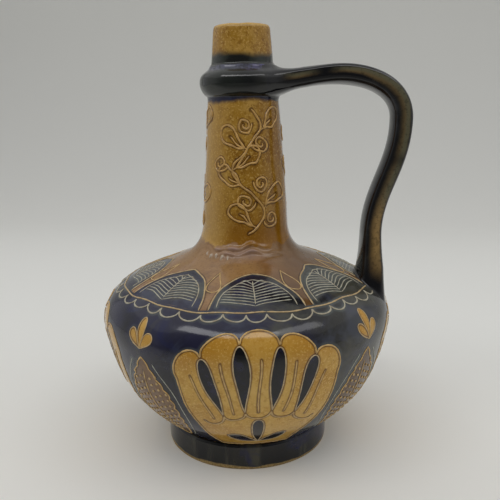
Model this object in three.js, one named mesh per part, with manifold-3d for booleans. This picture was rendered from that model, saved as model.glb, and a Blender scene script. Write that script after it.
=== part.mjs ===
// Glazed stoneware jug: a squat belly on a foot ring, a long tapered neck, a collar below the mouth
// and one pulled handle. It is built as a potter builds it, from thrown sections luted together.
// Millimetres, +Z up, the handle towards +X, the origin under the middle of the jug on the ground.
import * as THREE from "three";
import { mergeVertices } from "three/addons/utils/BufferGeometryUtils.js";
import Module from "manifold-3d";

const wasm = await Module();
wasm.setup();

// Clay walls, and the slip joint left between two luted sections
const BELLY_WALL = 5.5;
const NECK_WALL = 5;
const MOUTH_WALL = 4.4;
const LUTE_GAP = 0.3;

// Foot ring: the bowl is set in from its top edge by the ledge
const FOOT_RADIUS = 54.2;
const FOOT_HEIGHT = 17.3;
const FOOT_WIDTH = 9.8;
const FOOT_LAND = 7.2;
const FOOT_LEDGE = 0.9;
const FOOT_TOE = 4;
const FOOT_TOP_ROUND = 3.2;

// Belly bowl: the floor's flat underside lies below the ledge, inside the foot ring
const BOWL_HEIGHT = 66.7;
const BOWL_SEAT_DROP = 7.3;
const BOWL_FLOOR = 7.5;
const BOWL_FLOOR_FILLET = 4;
const BOWL_RISE_ANGLE = 40;
const BOWL_RISE_PULL = 34;

// Seam of bowl and shoulder: the wall still leans out a little as it passes the seam
const SEAM_RADIUS = 93.4;
const SEAM_LEAN = 10.4;
const SEAM_PULL_BELOW = 33;
const SEAM_PULL_ABOVE = 23;

// Shoulder, ending at the seat of the neck
const SHOULDER_HEIGHT = 44;
const SHOULDER_SLOPE = 20;
const SHOULDER_PULL = 37;

// Neck: a flared skirt, then a straight taper
const NECK_HEIGHT = 108;
const NECK_SEAT_RADIUS = 40.2;
const NECK_BASE_RADIUS = 27.5;
const NECK_TOP_RADIUS = 21.6;
const NECK_FLARE_HEIGHT = 20;
const NECK_FLARE_SEAT_PULL = 3.1;
const NECK_FLARE_TOP_PULL = 14.9;

// Mouth: a short taper that stands on the neck, with a rounded lip
const MOUTH_HEIGHT = 34;
const MOUTH_STEP = 1.4;
const MOUTH_RIM_RADIUS = 17.3;
const LIP_HEIGHT = 2.6;

// Collar: a ring round the joint of neck and mouth
const COLLAR_BULGE = 5.3;
const COLLAR_BELOW = 8.2;
const COLLAR_ABOVE = 10.4;
const COLLAR_EDGE = 0.8;
const COLLAR_LOWER_PULL = 3.3;
const COLLAR_BULGE_PULL = 7.4;
const COLLAR_HOLLOW_PULL = 4.6;

// Handle: out of the collar, over the crown, down round the elbow, in to the waist, onto the shoulder
const HANDLE_REACH = 104.8;
const HANDLE_CROWN_RADIUS = 58;
const HANDLE_CROWN_RISE = 4;
const HANDLE_ELBOW_DROP = 27;
const HANDLE_LANDING_INSET = 12.4;
const HANDLE_WAIST_RISE = 30;
const HANDLE_ROOT_ANGLE = 9;
const HANDLE_LANDING_LEAN = 11;
const HANDLE_ROOT_BITE = 5;
const HANDLE_LANDING_BITE = 9;

// How far the handle's centre line is drawn straight on before and after each station
const ROOT_PULL = 12;
const CROWN_PULL_BEFORE = 12;
const CROWN_PULL_AFTER = 24;
const ELBOW_PULL_BEFORE = 16.5;
const ELBOW_PULL_AFTER = 30;
const WAIST_PULL_BEFORE = 30;
const WAIST_PULL_AFTER = 13;
const LANDING_PULL = 13;

// Handle section: thickness lies in the plane of the handle, width lies across it. The outer and the
// inner face bow out by their crowns, and the edges between faces and sides are eased.
const CROWN_THICKNESS = 13;
const ELBOW_THICKNESS = 14;
const WAIST_THICKNESS = 13;
const HANDLE_WIDTH = 19.5;
const OUTER_FACE_CROWN = 1.8;
const INNER_FACE_CROWN = 1.2;
const HANDLE_EDGE_EASE = 1.2;
const ROOT_FLARE = 6;
const ROOT_FLARE_LENGTH = 5;
const LANDING_FLARE = 9;
const LANDING_FLARE_LENGTH = 14;
const LANDING_SPREAD = 1.6;

// Facets
const TURN_STEPS = 60;
const LONG_CURVE_STEPS = 9;
const SHORT_CURVE_STEPS = 6;
const HANDLE_STEPS_PER_CURVE = 10;
const HANDLE_FACE_STEPS = 6;
const SAME_POINT = 1e-4;
const HALVINGS = 40;

// Heights of the joints above the ground
const seamHeight = FOOT_HEIGHT + BOWL_HEIGHT;
const seatHeight = seamHeight + SHOULDER_HEIGHT;
const neckTop = seatHeight + NECK_HEIGHT;
const rimHeight = neckTop + MOUTH_HEIGHT;

const point = (radius, height) => new THREE.Vector2(radius, height);
const heading = (degrees) =>
  point(Math.cos(THREE.MathUtils.degToRad(degrees)), Math.sin(THREE.MathUtils.degToRad(degrees)));
const along = (start, direction, distance) => start.clone().addScaledVector(direction, distance);
const mix = THREE.MathUtils.lerp;

// Main curves of the outer wall, each running up the jug in (radius, height)
const bowlFoot = point(FOOT_RADIUS - FOOT_LEDGE, FOOT_HEIGHT);
const seam = point(SEAM_RADIUS, seamHeight);
const seamHeading = heading(90 - SEAM_LEAN);
const seat = point(NECK_SEAT_RADIUS, seatHeight);
const seatHeading = heading(180 - SHOULDER_SLOPE);
const neckBase = point(NECK_BASE_RADIUS, seatHeight + NECK_FLARE_HEIGHT);
const neckHead = point(NECK_TOP_RADIUS, neckTop);
const neckHeading = neckHead.clone().sub(neckBase).normalize();

const bowlCurve = new THREE.CubicBezierCurve(
  bowlFoot,
  along(bowlFoot, heading(BOWL_RISE_ANGLE), BOWL_RISE_PULL),
  along(seam, seamHeading, -SEAM_PULL_BELOW),
  seam,
);
const shoulderCurve = new THREE.CubicBezierCurve(
  seam,
  along(seam, seamHeading, SEAM_PULL_ABOVE),
  along(seat, seatHeading, -SHOULDER_PULL),
  seat,
);
const flareCurve = new THREE.CubicBezierCurve(
  seat,
  along(seat, seatHeading, NECK_FLARE_SEAT_PULL),
  along(neckBase, neckHeading, -NECK_FLARE_TOP_PULL),
  neckBase,
);

// A point of a curve moved square to it by an offset, outwards when the curve runs up the jug.
function offsetPoint(curve, t, offset) {
  const direction = curve.getTangent(t);
  return along(curve.getPoint(t), point(direction.y, -direction.x), offset);
}

// The same from one parameter to another, as a row of points.
function offsetRow(curve, offset, steps, from = 0, to = 1) {
  return Array.from({ length: steps + 1 }, (_, i) => offsetPoint(curve, mix(from, to, i / steps), offset));
}

// The parameter at which a rising value along a curve reaches its target, by halving.
function parameterWhere(valueAt, target) {
  let low = 0;
  let high = 1;
  for (let i = 0; i < HALVINGS; i += 1) {
    const middle = (low + high) / 2;
    if (valueAt(middle) < target) low = middle;
    else high = middle;
  }
  return (low + high) / 2;
}

// Moves the last point of a row back along the wall, to leave the slip joint above it.
function trimmed(row, direction) {
  return [...row.slice(0, -1), along(row.at(-1), direction, -LUTE_GAP)];
}

function closed(row) {
  return [...row, row[0].clone()];
}

// Turns a profile of (radius, height) points about the jug's axis.
function turned(profile) {
  return new THREE.LatheGeometry(profile, TURN_STEPS).rotateX(Math.PI / 2);
}

function footRing() {
  const landOuter = FOOT_RADIUS - FOOT_LEDGE;
  const underside = undersideOfBowl();
  const slope = underside.edge.clone().sub(underside.inner).normalize();
  const squareDown = point(slope.y, -slope.x);
  const seatOuter = along(underside.edge, squareDown, LUTE_GAP);
  const seatInner = along(seatOuter, slope, (FOOT_RADIUS - FOOT_WIDTH - seatOuter.x) / slope.x);
  const outline = new THREE.Path();
  outline.moveTo(landOuter - FOOT_LAND, 0);
  outline.lineTo(landOuter, 0);
  outline.quadraticCurveTo(FOOT_RADIUS, 0, FOOT_RADIUS, FOOT_TOE);
  outline.lineTo(FOOT_RADIUS, seatOuter.y - FOOT_TOP_ROUND);
  outline.quadraticCurveTo(FOOT_RADIUS, seatOuter.y, seatOuter.x, seatOuter.y);
  outline.lineTo(seatInner.x, seatInner.y);
  outline.lineTo(landOuter - FOOT_LAND, 0);
  return turned(outline.getPoints(SHORT_CURVE_STEPS));
}

// The flat of the bowl's underside and the cone that beds on the foot ring.
function undersideOfBowl() {
  const inner = point(FOOT_RADIUS - FOOT_WIDTH - FOOT_LEDGE, FOOT_HEIGHT - BOWL_SEAT_DROP);
  return { inner, edge: bowlFoot.clone() };
}

function bellyBowl() {
  const underside = undersideOfBowl();
  const floor = underside.inner.y + BOWL_FLOOR;
  const innerHeight = (t) => offsetPoint(bowlCurve, t, -BELLY_WALL).y;
  const start = parameterWhere(innerHeight, floor + BOWL_FLOOR_FILLET);
  const outside = trimmed(offsetRow(bowlCurve, 0, LONG_CURVE_STEPS), seamHeading);
  const inside = trimmed(offsetRow(bowlCurve, -BELLY_WALL, LONG_CURVE_STEPS, start, 1), seamHeading);
  const wallFoot = inside[0];
  const wallHeading = bowlCurve.getTangent(start);
  const corner = along(wallFoot, wallHeading, (floor - wallFoot.y) / wallHeading.y);
  const fillet = new THREE.QuadraticBezierCurve(
    wallFoot,
    corner,
    point(corner.x - wallFoot.distanceTo(corner), floor),
  );
  return turned([
    point(0, underside.inner.y),
    underside.inner,
    ...outside,
    ...inside.toReversed(),
    ...fillet.getPoints(SHORT_CURVE_STEPS / 2).slice(1),
    point(0, floor),
  ]);
}

function shoulder() {
  const outside = trimmed(offsetRow(shoulderCurve, 0, LONG_CURVE_STEPS), seatHeading);
  const inside = trimmed(offsetRow(shoulderCurve, -BELLY_WALL, LONG_CURVE_STEPS), seatHeading);
  return turned(closed([...outside, ...inside.toReversed()]));
}

// Radius of the bore at the top of the neck, where the mouth's bore takes over.
const neckBoreTop = NECK_TOP_RADIUS - NECK_WALL / neckHeading.y;

function neck() {
  const outside = [...offsetRow(flareCurve, 0, SHORT_CURVE_STEPS), neckHead.clone()];
  const inside = [...offsetRow(flareCurve, -NECK_WALL, SHORT_CURVE_STEPS), point(neckBoreTop, neckTop)];
  return turned(closed([...outside, ...inside.toReversed()]));
}

const neckRadiusAt = (height) =>
  mix(NECK_BASE_RADIUS, NECK_TOP_RADIUS, (height - neckBase.y) / (neckTop - neckBase.y));
const mouthRadiusAt = (height) =>
  mix(NECK_TOP_RADIUS - MOUTH_STEP, MOUTH_RIM_RADIUS, (height - neckTop) / MOUTH_HEIGHT);

function mouth() {
  const base = neckTop + LUTE_GAP;
  const lipBase = rimHeight - LIP_HEIGHT;
  const lipRadius = mouthRadiusAt(lipBase);
  const outline = new THREE.Path();
  outline.moveTo(mouthRadiusAt(base), base);
  outline.lineTo(lipRadius, lipBase);
  outline.ellipse(-MOUTH_WALL / 2, 0, MOUTH_WALL / 2, LIP_HEIGHT, 0, Math.PI);
  outline.lineTo(neckBoreTop, base);
  outline.lineTo(mouthRadiusAt(base), base);
  return turned(outline.getPoints(SHORT_CURVE_STEPS));
}

// Outer face of the collar from its lower to its upper edge: a fat bulge that sweeps into the mouth.
function collarFace() {
  const low = neckTop - COLLAR_BELOW;
  const high = neckTop + COLLAR_ABOVE;
  const lowRadius = neckRadiusAt(low) + LUTE_GAP + COLLAR_EDGE;
  const highRadius = mouthRadiusAt(high) + LUTE_GAP + COLLAR_EDGE;
  const bulge = NECK_TOP_RADIUS + COLLAR_BULGE;
  const face = new THREE.Path();
  face.moveTo(lowRadius, low);
  face.bezierCurveTo(
    mix(lowRadius, bulge, 0.5),
    low + COLLAR_LOWER_PULL / 2,
    bulge,
    neckTop - COLLAR_LOWER_PULL,
    bulge,
    neckTop,
  );
  face.bezierCurveTo(
    bulge,
    neckTop + COLLAR_BULGE_PULL,
    highRadius,
    high - COLLAR_HOLLOW_PULL,
    highRadius,
    high,
  );
  return face.getPoints(SHORT_CURVE_STEPS);
}

function collar() {
  const low = neckTop - COLLAR_BELOW;
  const high = neckTop + COLLAR_ABOVE;
  const step = neckTop + LUTE_GAP;
  return turned(
    closed([
      ...collarFace(),
      point(mouthRadiusAt(high) + LUTE_GAP, high),
      point(mouthRadiusAt(step) + LUTE_GAP, step),
      point(neckRadiusAt(neckTop) + LUTE_GAP, step),
      point(neckRadiusAt(low) + LUTE_GAP, low),
    ]),
  );
}

// Centre line of the handle in (radius, height): one smooth curve between each two stations.
function handleCurves() {
  const root = point(NECK_TOP_RADIUS + COLLAR_BULGE - HANDLE_ROOT_BITE, neckTop);
  const crown = point(HANDLE_CROWN_RADIUS, neckTop + HANDLE_CROWN_RISE);
  const elbow = point(HANDLE_REACH - ELBOW_THICKNESS / 2, crown.y - HANDLE_ELBOW_DROP);
  const landingRadius = SEAM_RADIUS - HANDLE_LANDING_INSET;
  const inwards = (t) => -shoulderCurve.getPoint(t).x;
  const ontoShoulder = shoulderCurve.getPoint(parameterWhere(inwards, -landingRadius));
  const landingHeading = heading(-90 - HANDLE_LANDING_LEAN);
  const landing = along(ontoShoulder, landingHeading, HANDLE_LANDING_BITE);
  const waist = point(landingRadius, ontoShoulder.y + HANDLE_WAIST_RISE);
  const down = heading(-90);
  const stations = [
    { at: root, towards: heading(HANDLE_ROOT_ANGLE), after: ROOT_PULL },
    { at: crown, towards: heading(0), before: CROWN_PULL_BEFORE, after: CROWN_PULL_AFTER },
    { at: elbow, towards: down, before: ELBOW_PULL_BEFORE, after: ELBOW_PULL_AFTER },
    { at: waist, towards: down, before: WAIST_PULL_BEFORE, after: WAIST_PULL_AFTER },
    { at: landing, towards: landingHeading, before: LANDING_PULL },
  ];
  return stations.slice(1).map((to, i) => {
    const from = stations[i];
    return new THREE.CubicBezierCurve(
      from.at,
      along(from.at, from.towards, from.after),
      along(to.at, to.towards, -to.before),
      to.at,
    );
  });
}

// One broad face of the handle's section, bowed as a parabola, in (across, out) from edge to edge.
function handleFace(crown, side) {
  const halfWidth = HANDLE_WIDTH / 2;
  return Array.from({ length: HANDLE_FACE_STEPS + 1 }, (_, i) => {
    const across = side * mix(-1, 1, i / HANDLE_FACE_STEPS) * (halfWidth - HANDLE_EDGE_EASE);
    return point(across, side * (CROWN_THICKNESS / 2 - crown * (across / halfWidth) ** 2));
  });
}

// The whole section at the crown: outer face, one side, inner face, other side.
function handleSection() {
  const side = HANDLE_WIDTH / 2;
  const outerEdge = CROWN_THICKNESS / 2 - OUTER_FACE_CROWN - HANDLE_EDGE_EASE;
  const innerEdge = INNER_FACE_CROWN + HANDLE_EDGE_EASE - CROWN_THICKNESS / 2;
  return [
    ...handleFace(OUTER_FACE_CROWN, 1),
    point(side, outerEdge),
    point(side, innerEdge),
    ...handleFace(INNER_FACE_CROWN, -1),
    point(-side, innerEdge),
    point(-side, outerEdge),
  ];
}

// Skin of the handle: its section carried along the centre line, growing where it was smoothed on.
function handleSkin() {
  const curves = handleCurves();
  const section = handleSection();
  const thicknesses = [CROWN_THICKNESS, CROWN_THICKNESS, ELBOW_THICKNESS, WAIST_THICKNESS, WAIST_THICKNESS];
  const lengths = curves.map((curve) => curve.getLength());
  const total = lengths.reduce((sum, length) => sum + length, 0);
  const vertices = [];
  const rings = [];
  let travelled = 0;
  curves.forEach((curve, k) => {
    for (let i = k === 0 ? 0 : 1; i <= HANDLE_STEPS_PER_CURVE; i += 1) {
      const share = i / HANDLE_STEPS_PER_CURVE;
      const centre = curve.getPointAt(share);
      const direction = curve.getTangentAt(share);
      const fromRoot = Math.max(travelled + share * lengths[k] - HANDLE_ROOT_BITE, 0);
      const fromLanding = Math.max(total - travelled - share * lengths[k] - HANDLE_LANDING_BITE, 0);
      const rootFlare = ROOT_FLARE * Math.exp(-fromRoot / ROOT_FLARE_LENGTH);
      const landingFlare = LANDING_FLARE * Math.exp(-fromLanding / LANDING_FLARE_LENGTH);
      const blend = THREE.MathUtils.smoothstep(share, 0, 1);
      const thickness = mix(thicknesses[k], thicknesses[k + 1], blend) + rootFlare + landingFlare;
      const width = HANDLE_WIDTH + rootFlare + LANDING_SPREAD * landingFlare;
      rings.push(vertices.length / 3);
      section.forEach((corner) => {
        const across = (corner.x * width) / HANDLE_WIDTH;
        const out = (corner.y * thickness) / CROWN_THICKNESS;
        vertices.push(centre.x - direction.y * out, across, centre.y + direction.x * out);
      });
    }
    travelled += lengths[k];
  });
  return loft(vertices, rings, section.length);
}

// Joins rings of equal count into a closed skin, with a flat fan over each end.
function loft(vertices, rings, sides) {
  const index = [];
  const next = (j) => (j + 1) % sides;
  rings.slice(1).forEach((upper, i) => {
    const lower = rings[i];
    for (let j = 0; j < sides; j += 1) {
      index.push(lower + j, upper + j, lower + next(j));
      index.push(lower + next(j), upper + j, upper + next(j));
    }
  });
  for (let j = 1; j < sides - 1; j += 1) {
    index.push(rings[0], rings[0] + j, rings[0] + j + 1);
    index.push(rings.at(-1), rings.at(-1) + j + 1, rings.at(-1) + j);
  }
  const geometry = new THREE.BufferGeometry();
  geometry.setAttribute("position", new THREE.Float32BufferAttribute(vertices, 3));
  geometry.setIndex(index);
  return geometry;
}

function solidOf(geometry) {
  const bare = geometry.clone();
  bare.deleteAttribute("normal");
  bare.deleteAttribute("uv");
  const merged = mergeVertices(bare, SAME_POINT);
  return new wasm.Manifold(
    new wasm.Mesh({
      numProp: 3,
      vertProperties: new Float32Array(merged.attributes.position.array),
      triVerts: new Uint32Array(merged.index.array),
    }),
  );
}

function geometryOf(solid) {
  const mesh = solid.getMesh();
  const geometry = new THREE.BufferGeometry();
  geometry.setAttribute("position", new THREE.BufferAttribute(mesh.vertProperties, 3));
  geometry.setIndex(new THREE.BufferAttribute(mesh.triVerts, 1));
  geometry.computeVertexNormals();
  return geometry;
}

// Full round bodies that the handle is scribed to, each standing proud of its section by the slip joint.
function scribeBodies() {
  const shoulderRow = offsetRow(shoulderCurve, LUTE_GAP, LONG_CURVE_STEPS);
  const collarRow = new THREE.SplineCurve(collarFace());
  const collarSteps = 2 * SHORT_CURVE_STEPS;
  const collarGrown = offsetRow(collarRow, LUTE_GAP, collarSteps);
  const stem = [
    point(NECK_BASE_RADIUS + LUTE_GAP, neckBase.y),
    point(neckRadiusAt(neckTop) + LUTE_GAP, neckTop),
    point(mouthRadiusAt(rimHeight) + LUTE_GAP, rimHeight),
  ];
  return [shoulderRow, collarGrown, stem].map((row) =>
    solidOf(turned([point(0, row[0].y), ...row, point(0, row.at(-1).y)])),
  );
}

function handle() {
  return geometryOf(scribeBodies().reduce((left, body) => left.subtract(body), solidOf(handleSkin())));
}

// Glazes: honey on neck and mouth, dark cobalt and olive on the rest, brown round the neck
const honeyGlaze = new THREE.MeshStandardMaterial({ color: 0xa67a38, roughness: 0.25, metalness: 0 });
const cobaltGlaze = new THREE.MeshStandardMaterial({ color: 0x1d2236, roughness: 0.15, metalness: 0 });
const brownGlaze = new THREE.MeshStandardMaterial({ color: 0x6d5138, roughness: 0.25, metalness: 0 });
const darkGlaze = new THREE.MeshStandardMaterial({ color: 0x24231f, roughness: 0.15, metalness: 0 });

const sections = [
  ["foot_ring", footRing(), darkGlaze],
  ["belly_bowl", bellyBowl(), cobaltGlaze],
  ["shoulder", shoulder(), brownGlaze],
  ["neck", neck(), honeyGlaze],
  ["collar", collar(), darkGlaze],
  ["mouth", mouth(), honeyGlaze],
  ["handle", handle(), darkGlaze],
];

const jug = new THREE.Group();
sections.forEach(([name, geometry, glaze]) => {
  const section = new THREE.Mesh(geometry, glaze);
  section.name = name;
  jug.add(section);
});

// The handle reaches out on one side, so the jug moves over to bring its middle to the origin.
const middle = new THREE.Box3().setFromObject(jug).getCenter(new THREE.Vector3());
jug.children.forEach((section) => section.geometry.translate(-middle.x, 0, 0));

export default jug;
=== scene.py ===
"""Looks of the glazed stoneware jug: turned shells, a pulled handle, trailed slip lines and glazes."""

import bpy
import numpy as np
from mathutils import Matrix, Vector


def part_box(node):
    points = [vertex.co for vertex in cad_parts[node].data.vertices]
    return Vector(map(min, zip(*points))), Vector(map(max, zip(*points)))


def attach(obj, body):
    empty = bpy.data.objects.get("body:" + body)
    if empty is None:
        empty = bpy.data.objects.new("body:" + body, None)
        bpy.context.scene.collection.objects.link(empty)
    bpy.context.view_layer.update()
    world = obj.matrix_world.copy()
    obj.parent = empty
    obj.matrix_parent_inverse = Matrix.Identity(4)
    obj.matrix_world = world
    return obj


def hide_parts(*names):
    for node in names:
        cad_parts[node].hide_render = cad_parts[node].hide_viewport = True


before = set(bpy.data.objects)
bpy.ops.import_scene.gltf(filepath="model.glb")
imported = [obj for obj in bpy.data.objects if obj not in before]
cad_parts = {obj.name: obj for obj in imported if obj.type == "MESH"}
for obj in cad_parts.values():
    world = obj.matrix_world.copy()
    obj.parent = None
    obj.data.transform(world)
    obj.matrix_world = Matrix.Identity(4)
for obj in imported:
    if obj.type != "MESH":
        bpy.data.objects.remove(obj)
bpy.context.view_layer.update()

FULL_TURN = 2 * np.pi


# Sizes read from the frame, in metres


def span(node, axis):
    """Lowest and highest place of a node's box along one axis."""
    low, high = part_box(node)
    return low[axis], high[axis]


def half_size(node, axis):
    """Half the length of a node's box along one axis."""
    low, high = span(node, axis)
    return (high - low) / 2


X, Y, Z = range(3)
AXIS_X = sum(span("neck", X)) / 2
NECK_TOP = span("neck", Z)[1]
RIM = span("mouth", Z)[1]
COLLAR_BOTTOM, COLLAR_TOP = span("collar", Z)
COLLAR_RADIUS = half_size("collar", X)
FOOT_RADIUS = half_size("foot_ring", X)
BELLY_RADIUS = half_size("shoulder", Y)
HANDLE_REACH = span("handle", X)[1] - AXIS_X

# Outer wall
FOOT_TOP = 0.0173
FOOT_LEDGE = 0.0009
FOOT_TOE = 0.0040
FOOT_TOP_ROUND = 0.0032
FOOT_TOP_DEPTH = 0.0022
FOOT_LAND = 0.0072
FOOT_SHIFT = 0.0008
BOWL_RISE_ANGLE = 40
BOWL_RISE_PULL = 0.034
SEAM = np.array([0.0934, 0.0840])
SEAM_LEAN = 10.4
SEAM_PULL_BELOW = 0.0330
SEAM_PULL_ABOVE = 0.0230
SEAT = np.array([0.0402, 0.1280])
SEAT_SLOPE = 20
SEAT_PULL_BELOW = 0.0370
SEAT_PULL_ABOVE = 0.0031
NECK_BASE = np.array([0.0275, 0.1480])
NECK_BASE_PULL = 0.0149
NECK_TOP_RADIUS = 0.0216
MOUTH_BASE_RADIUS = 0.0202
RIM_RADIUS = 0.0173
LIP_HEIGHT = 0.0026
COLLAR_EDGE = 0.0011
COLLAR_LOWER_PULL = 0.0033
COLLAR_BULGE_PULL = 0.0074
COLLAR_HOLLOW_PULL = 0.0046
GLAZE_SOFTNESS = 0.0009
NECK_LEAN = 0.0004
NECK_LEAN_RISE = 0.2150
NECK_LEAN_REACH = 0.0350
SHOULDER_DIP = 0.0010
SHOULDER_DIP_RISE = 0.1370
SHOULDER_DIP_REACH = 0.0160

# Waves of the potter's hand: (height, waves round the jug, radians per metre up the wall, start)
WALL_WAVES = (
    (0.00005, 3, -35, np.pi / 2),
    (-0.00005, 3, 115, np.pi / 2),
    (0.00008, 7, -55, 1),
    (0.00005, 11, 130, 0),
)
DRIFT_ASIDE = ((0.0006, 9, 90, 0), (0.0004, 17, -160, 0))
DRIFT_UP = ((0.0006, 8, -70, 2), (0.0004, 19, 120, 0))

# Thick glaze at the foot of the neck. Angles count from the front, which faces the camera. A sway is
# (height, waves in a turn, start), a fold (middle, reach, mean share, lumps' share, lumps in a turn)
FRONT = np.radians(-81.6)
FOLD_HEIGHT = 0.0022
FOLD_RISE = 0.1690
FOLD_WIDTH = 0.0014
FOLD_STEP = 0.0042
FOLD_SLANT = 0.002
FOLD_SWAYS = ((0.0016, 5, 0.6), (0.0008, 13, 0))
UPPER_FOLD = (-0.25, 0.50, 0.65, 0.35, 19)
LOWER_FOLD = (-0.05, 0.55, 0.60, 0.30, 13)
BEAD_RISE = 0.1612
BEAD_WIDTH = 0.0015
BEAD_SWAY = 0.0010
BEAD_SWAY_WAVES = 29
BEAD_SLANT = 0.002
BEAD_MIDDLE = -0.55
BEAD_REACH = 0.28
BEADS_IN_A_TURN = 54
CURTAIN_RISE = 0.1650
CURTAIN_HEIGHT = 0.0060
CURTAIN_MIDDLE = -0.15
CURTAIN_REACH = 0.80
CURTAIN_SHARE = 0.5

# Clay behind the outer wall
BELLY_WALL = 0.0055
NECK_WALL = 0.0050
MOUTH_WALL = 0.0044
NECK_BORE = NECK_TOP_RADIUS - NECK_WALL
LUTE_GAP = 0.0003
UNDERSIDE = 0.0100
UNDERSIDE_RADIUS = 0.0435
BOWL_TUCK = 0.0035
BOWL_DROP = 0.0022
FLOOR = 0.0175
FLOOR_FILLET = 0.0040
FLOOR_EDGE_REACH = 2.2
FLOOR_EDGE_LIFT = 0.0008

# Mesh steps
WALL_STEP = 0.0002
BELLY_ROW = 0.00085
NECK_ROW = 0.0005
BACK_ROW = 0.0035
FLOOR_ROW = 0.004
UNDER_ROW = 0.003
FOOT_FACE_ROW = 0.001
FOOT_INNER_ROW = 0.0015
FOOT_LAND_ROW = 0.002
POLE_RING = 0.004
BELLY_COLUMNS = 560
NECK_COLUMNS = 300
FOOT_COLUMNS = 360
SHARP_ANGLE = 62
FAR = 0.004


def heading(degrees):
    """Unit step at an angle in degrees, counted from the first axis towards the second."""
    return np.array([np.cos(np.radians(degrees)), np.sin(np.radians(degrees))])


def bezier(start, start_pull, end_pull, end, count=400):
    """Cubic curve: the four points weighted by (1-t)^3, 3t(1-t)^2, 3t^2(1-t) and t^3."""
    t = np.linspace(0, 1, count)[:, None]
    near_start = (1 - t) ** 3 * start + 3 * t * (1 - t) ** 2 * start_pull
    return near_start + 3 * t**2 * (1 - t) * end_pull + t**3 * end


def lengths_along(path):
    """Length travelled at each point of a path, from zero."""
    return np.concatenate([[0.0], np.cumsum(np.linalg.norm(np.diff(path, axis=0), axis=1))])


def resampled(path, step):
    """The same path with evenly spaced points about one step apart."""
    travelled = lengths_along(path)
    count = max(int(round(travelled[-1] / step)), 1) + 1
    marks = np.linspace(0, travelled[-1], count)
    return np.stack([np.interp(marks, travelled, path[:, k]) for k in range(path.shape[1])], -1)


def rows_through(points, step):
    """Straight stretches between the given points, cut into even steps, with every corner kept."""
    points = np.asarray(points, float)
    stretches = [resampled(points[k : k + 2], step)[:-1] for k in range(len(points) - 1)]
    return np.concatenate([*stretches, points[-1:]])


def smoothstep(low, high, value):
    """0 below low, 1 above high, and 3t^2 - 2t^3 between them."""
    t = np.clip((value - low) / (high - low), 0, 1)
    return t * t * (3 - 2 * t)


def bell(value, width):
    """exp(-(value / width)^2)"""
    return np.exp(-((value / width) ** 2))


def waves(turn, rise, table):
    """Sum of the sine waves of a table, which run round the jug and up its wall."""
    return sum(high * np.sin(around * turn + up * rise + start) for high, around, up, start in table)


# Outer outline of the jug, from the foot's ledge to the inside of the lip


def neck_radius(height):
    """Straight taper of the neck's outer wall."""
    return np.interp(height, [NECK_BASE[1], NECK_TOP], [NECK_BASE[0], NECK_TOP_RADIUS])


def mouth_radius(height):
    """Straight taper of the mouth's outer wall."""
    return np.interp(height, [NECK_TOP, RIM], [MOUTH_BASE_RADIUS, RIM_RADIUS])


def outline_sections():
    """Stretches of the outline in (radius, height), each starting where the one below it ends."""
    ledge = np.array([FOOT_RADIUS - FOOT_LEDGE, FOOT_TOP])
    seam_heading = heading(90 - SEAM_LEAN)
    seat_heading = heading(180 - SEAT_SLOPE)
    neck_head = np.array([NECK_TOP_RADIUS, NECK_TOP])
    neck_heading = (neck_head - NECK_BASE) / np.linalg.norm(neck_head - NECK_BASE)
    bowl = bezier(
        ledge,
        ledge + BOWL_RISE_PULL * heading(BOWL_RISE_ANGLE),
        SEAM - SEAM_PULL_BELOW * seam_heading,
        SEAM,
    )
    shoulder = bezier(
        SEAM,
        SEAM + SEAM_PULL_ABOVE * seam_heading,
        SEAT - SEAT_PULL_BELOW * seat_heading,
        SEAT,
    )
    flare = bezier(
        SEAT,
        SEAT + SEAT_PULL_ABOVE * seat_heading,
        NECK_BASE - NECK_BASE_PULL * neck_heading,
        NECK_BASE,
    )
    below_collar = np.array([neck_radius(COLLAR_BOTTOM), COLLAR_BOTTOM])
    low_edge = below_collar + [COLLAR_EDGE, 0]
    bulge = np.array([COLLAR_RADIUS, NECK_TOP])
    above_collar = np.array([mouth_radius(COLLAR_TOP), COLLAR_TOP])
    high_edge = above_collar + [COLLAR_EDGE, 0]
    lower_face = bezier(
        low_edge,
        (low_edge + [COLLAR_RADIUS, COLLAR_BOTTOM + COLLAR_LOWER_PULL]) / 2,
        bulge - [0, COLLAR_LOWER_PULL],
        bulge,
    )
    upper_face = bezier(
        bulge,
        bulge + [0, COLLAR_BULGE_PULL],
        high_edge - [0, COLLAR_HOLLOW_PULL],
        high_edge,
    )
    lip_base = RIM - LIP_HEIGHT
    over = np.linspace(0, np.pi, 60)
    lip_radius = mouth_radius(lip_base) - MOUTH_WALL / 2 * (1 - np.cos(over))
    lip = np.stack([lip_radius, lip_base + LIP_HEIGHT * np.sin(over)], -1)
    return {
        "belly_bowl": bowl,
        "shoulder": shoulder,
        "neck": np.concatenate([flare, [below_collar]]),
        "collar": np.concatenate([lower_face, upper_face]),
        "mouth": np.concatenate([[above_collar], lip]),
    }


def softened_outline():
    """The stretches joined, spaced evenly and averaged with a bell curve, as glaze rounds corners."""
    sections = outline_sections()
    joined = np.concatenate(list(sections.values()))
    ends = lengths_along(joined)[np.cumsum([len(part) for part in sections.values()]) - 1]
    even = resampled(joined, WALL_STEP)
    reach = int(4 * GLAZE_SOFTNESS / WALL_STEP)
    weights = bell(np.arange(-reach, reach + 1) * WALL_STEP, np.sqrt(2) * GLAZE_SOFTNESS)
    weights /= weights.sum()
    before = 2 * even[0] - even[reach:0:-1]
    after = 2 * even[-1] - even[-2 : -reach - 2 : -1]
    padded = np.concatenate([before, even, after])
    smooth = np.stack([np.convolve(padded[:, k], weights, "valid") for k in (0, 1)], -1)
    return smooth, np.linspace(0, ends[-1], len(smooth)), dict(zip(sections, ends))


WALL, WALL_RISE, SECTION_END = softened_outline()
WALL_SLOPE = np.gradient(WALL, WALL_RISE, axis=0)
SECTION_START = dict(zip(SECTION_END, [0.0, *SECTION_END.values()]))


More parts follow.
